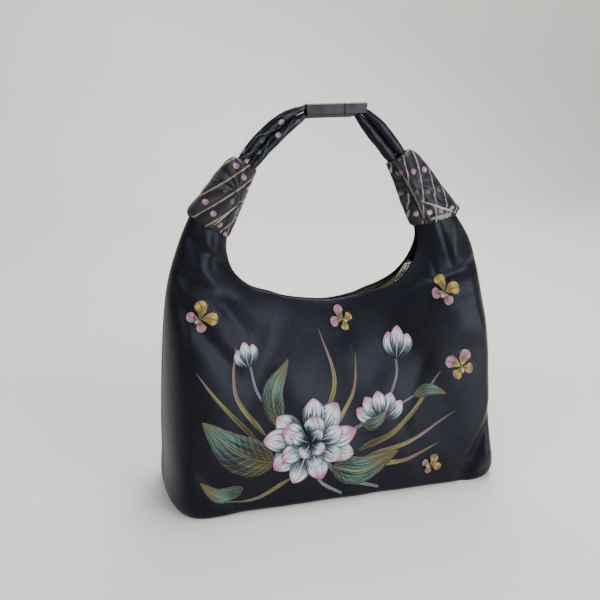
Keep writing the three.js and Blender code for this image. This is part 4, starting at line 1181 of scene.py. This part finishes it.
LEAVES = [
    (15, 0.2, (-60, 38), (-88, 50), (-112, 76)),
    (12, 0.7, (-16, 30), (8, 24), (38, 36)),
    (8.5, 0.5, (-56, 66), (-58, 90), (-44, 112)),
    (6, 0.9, (-84, 22), (-102, 18), (-116, 30)),
    (5, 0.4, (52, 76), (64, 80), (78, 76)),
]
BLADES = [
    (2.4, 0.3, (-24, 60), (-10, 92), (-18, 130)),
    (2.0, 0.7, (-14, 58), (4, 84), (8, 112)),
    (3.0, 0.1, (6, 40), (42, 56), (74, 94)),
    (2.2, 0.5, (10, 34), (48, 42), (86, 62)),
    (2.4, 0.8, (14, 26), (46, 28), (72, 38)),
    (2.2, 0.6, (-66, 60), (-86, 92), (-84, 128)),
    (2.0, 0.2, (-70, 54), (-98, 88), (-114, 112)),
    (1.8, 0.9, (-48, 24), (-74, 12), (-98, 12)),
]
STEMS = [
    (1.3, 0.4, (-10, 52), (22, 66), (38, 90), (40, 106)),
    (1.1, 0.6, (-48, 62), (-68, 88), (-74, 112)),
    (1.8, 0.3, (-24, 40), (-8, 20), (22, 7)),
    (1.6, 0.5, (-34, 38), (-24, 18), (-8, 6)),
    (0.9, 0.8, (20, 66), (42, 72), (52, 76)),
]
for kind, rows in (("stem", STEMS), ("blade", BLADES), ("leaf", LEAVES)):
    for half, tint, *points in rows:
        motif(kind, points, half, tint, rows=40)
flower((-32, 50), [(9, 6, 33, 8.6, 10), (6, 4, 23, 7.8, 30), (4, 1, 14, 5.4, 50)], 0.84, 11)
for angle in (150, 38, 122, 66, 94):
    motif("petal", spoke((24, 62), angle, 0, 21, (angle - 94) * 0.05), 6.2, angle / 180)
motif("leaf", ((10, 58), (20, 60), (29, 68)), 5, 0.6)
for centre, turn, size in (((40, 104), 82, 25), ((-75, 110), 98, 20)):
    for aside in (26, -24, 2):
        motif("petal", spoke(centre, turn + aside * 0.7, 0, size * (1 - abs(aside) / 160), aside * 0.09),
              size * 0.22, 0.4 + aside / 90)
for place, turn, size, tint in (
    ((80, 152), 60, 11, 0.15), ((90, 96), 110, 12, 0.75), ((-108, 148), 40, 11, 0.1),
    ((2, 134), 150, 8.5, 0.9), ((64, 20), 20, 8, 0.3),
):
    moth(place, turn, size, tint)
print({kind: len(sheets) for kind, sheets in motifs.items()})

# %% [markdown]
# ### Woven colours
# The weft brings a motif's colours to the top in long floats, so a petal is not a flat patch: its
# colour changes along its length, and fine lines of the black ground show between the floats.


# %% Woven colours
def woven(name, along, edge, rib, ribs=0, slant=1.2, lines=9, ground=0.4, by_tint=0.2):
    """Colours along a motif, with an edge, a middle rib and slanting side ribs. The ground shows
    where a noise that is drawn out along the motif is low."""
    material = satin(name, "#0a0a0e", "#0a0a0e", roughness=0.46, pitch=0.8)
    tree = material.node_tree
    shader = next(node for node in tree.nodes if node.type == "BSDF_PRINCIPLED")
    black = shader.inputs["Base Color"].links[0].from_socket
    axes = add(tree, "SeparateXYZ", {}, {0: add(tree, "TexCoord").outputs["UV"]})
    tint = add(tree, "Attribute", {"attribute_name": "tint"}).outputs["Fac"]
    aside = add(tree, "Math", {"operation": "ABSOLUTE"}, {0: axes.outputs[0]}).outputs[0]
    place = add(tree, "CombineXYZ", {}, {0: axes.outputs[0], 1: axes.outputs[1], 2: tint})
    drawn = add(tree, "Mapping", {"Scale": (lines, 2.4, 31)}, {"Vector": place.outputs[0]})
    floats = add(tree, "TexNoise", {"Scale": 1, "Detail": 3, "Roughness": 0.6}, {"Vector": drawn.outputs[0]})
    uneven = add(tree, "Math", {"operation": "MULTIPLY_ADD", 1: 0.5},
                 {0: floats.outputs[0], 2: axes.outputs[1]})
    shade = add(tree, "Math", {"operation": "MULTIPLY_ADD", 1: by_tint}, {0: tint, 2: uneven.outputs[0]})
    shift = add(tree, "Math", {"operation": "SUBTRACT", 1: 0.25 + by_tint / 2}, {0: shade.outputs[0]})
    colour = add(tree, "ValToRGB", {"stops": along}, {0: shift.outputs[0]}).outputs[0]
    rim = add(tree, "MapRange", {1: 0.8, 2: 0.93, 3: 0, 4: 0.8}, {0: aside})
    colour = add(tree, "Mix", {"data_type": "RGBA", 7: edge}, {0: rim.outputs[0], 6: colour}).outputs[2]
    middle = add(tree, "MapRange", {1: 0.09, 2: 0.04, 3: 0, 4: 0.9}, {0: aside}).outputs[0]
    if ribs:
        count = add(tree, "Math", {"operation": "MULTIPLY", 1: ribs}, {0: axes.outputs[1]})
        slope = add(tree, "Math", {"operation": "MULTIPLY_ADD", 1: -slant}, {0: aside, 2: count.outputs[0]})
        fold = add(tree, "Math", {"operation": "PINGPONG", 1: 0.5}, {0: slope.outputs[0]})
        side = add(tree, "MapRange", {1: 0.1, 2: 0.04, 3: 0, 4: 0.8}, {0: fold.outputs[0]})
        middle = add(tree, "Math", {"operation": "MAXIMUM"}, {0: side.outputs[0], 1: middle}).outputs[0]
    colour = add(tree, "Mix", {"data_type": "RGBA", 7: rib}, {0: middle, 6: colour}).outputs[2]
    gap = add(tree, "MapRange", {1: ground - 0.05, 2: ground + 0.05, 3: 0.15, 4: 1}, {0: floats.outputs[0]})
    shown = add(tree, "Mix", {"data_type": "RGBA"}, {0: gap.outputs[0], 6: black, 7: colour})
    tree.links.new(shown.outputs[2], shader.inputs["Base Color"])
    return material


weaves = {
    "petal": woven("weave_petal", [
        (0.0, "#0a0b0e"), (0.3, "#1d262c"), (0.48, "#627780"), (0.66, "#c4ced4"), (0.82, "#d8c9d6"),
        (0.97, "#b8678f"),
    ], "#30383f", "#aeb9c0", lines=18, ground=0.49),
    "leaf": woven("weave_leaf", [
        (0.0, "#4a4428"), (0.35, "#2c463f"), (0.62, "#547a70"), (0.85, "#5f6247"), (1.0, "#6f5f3c"),
    ], "#4f4a33", "#7f774f", ribs=10, slant=2.4, lines=26, ground=0.52, by_tint=0.5),
    "blade": woven("weave_blade", [
        (0.0, "#4d4426"), (0.4, "#8b8549"), (0.7, "#87686a"), (1.0, "#6d6b42"),
    ], "#857a4e", "#2e2a1c", ribs=30, slant=2.0, lines=9, ground=0.5, by_tint=0.6),
    "stem": woven("weave_stem", [(0.0, "#4f4d59"), (0.6, "#77747f"), (1.0, "#616a5c")],
                  "#87848f", "#33313a", ribs=26, slant=1.0, lines=6, ground=0.45),
    "wing": woven("weave_wing", [
        (0.1, "#7d6a28"), (0.4, "#b7a446"), (0.7, "#6f4d47"), (0.95, "#a8758f"),
    ], "#a39560", "#2a2118", ribs=6, slant=3.0, lines=14, ground=0.47, by_tint=0.9),
}
SPRAY_NAMES = {
    "petal": "spray_petals", "leaf": "spray_leaves", "blade": "spray_blades", "stem": "spray_stems",
    "wing": "spray_wings",
}
for kind, sheets in motifs.items():
    make_piece(SPRAY_NAMES[kind], sheets, weaves[kind], weld=True)

# %% [markdown]
# ## The floor and the light
# The bag stands on a plain pale floor that curves up into a backdrop. A broad soft light stands low
# at the front right, so that the satin's swells catch it, with weaker ones from above, from the
# left and from behind, and an even pale sky.

# %% Floor, backdrop and lights
FLOOR_HALF = 1600
FLOOR_BACK = 900
CURVE = 400
matte, tree, shader = new_material("pale_paper", {"Roughness": 0.85, "IOR": 1.45})
paper = add(tree, "TexNoise", {"Scale": 3, "Detail": 4}, {"Vector": add(tree, "TexCoord").outputs["Object"]})
tone = add(tree, "ValToRGB", {"stops": [(0.3, "#d9d6d1"), (0.7, "#dfdcd7")]}, {0: paper.outputs[0]})
tree.links.new(tone.outputs[0], shader.inputs["Base Color"])
turn = np.radians(np.linspace(0, 90, 13))
profile_y = np.concatenate([[-FLOOR_HALF], FLOOR_BACK + CURVE * np.sin(turn), [FLOOR_BACK + CURVE]])
profile_z = np.concatenate([[0], CURVE - CURVE * np.cos(turn), [FLOOR_HALF]])
across = np.array([-FLOOR_HALF, FLOOR_HALF])[None, :]
backdrop = np.stack(np.broadcast_arrays(across, profile_y[:, None], profile_z[:, None]), -1)
floor = make_piece("floor", [sheet(backdrop[::-1].astype(float))], matte)


def soft_light(name, place, target, size, power, colour):
    """A square area light at a place in millimetres, facing a target."""
    light = bpy.data.objects.new(name, bpy.data.lights.new(name, "AREA"))
    light.data.size, light.data.energy, light.data.color = size * MM, power, linear(colour)[:3]
    bpy.context.scene.collection.objects.link(light)
    way = np.array(target, float) - np.array(place, float)
    flat = math.hypot(way[0], way[1])
    light.location = [value * MM for value in place]
    light.rotation_euler = (math.atan2(flat, -way[2]), 0, math.atan2(-way[0], way[1]))
    return light


soft_light("key", (880, -1200, 460), (0, 0, 120), 1200, 36, "#ffffff")
soft_light("top", (200, 150, 1400), (0, 0, 120), 600, 14, "#ffffff")
soft_light("fill", (-900, -700, 1100), (0, 0, 100), 900, 10, "#f2f4ff")
soft_light("rim", (300, 900, 900), (0, 0, 150), 700, 10, "#ffffff")
world = bpy.data.worlds.new("sky")
world.use_nodes = True
world.node_tree.nodes["Background"].inputs[0].default_value = linear("#e6e4e0")
world.node_tree.nodes["Background"].inputs[1].default_value = 0.38
bpy.context.scene.world = world
print("four soft lights and a pale sky")
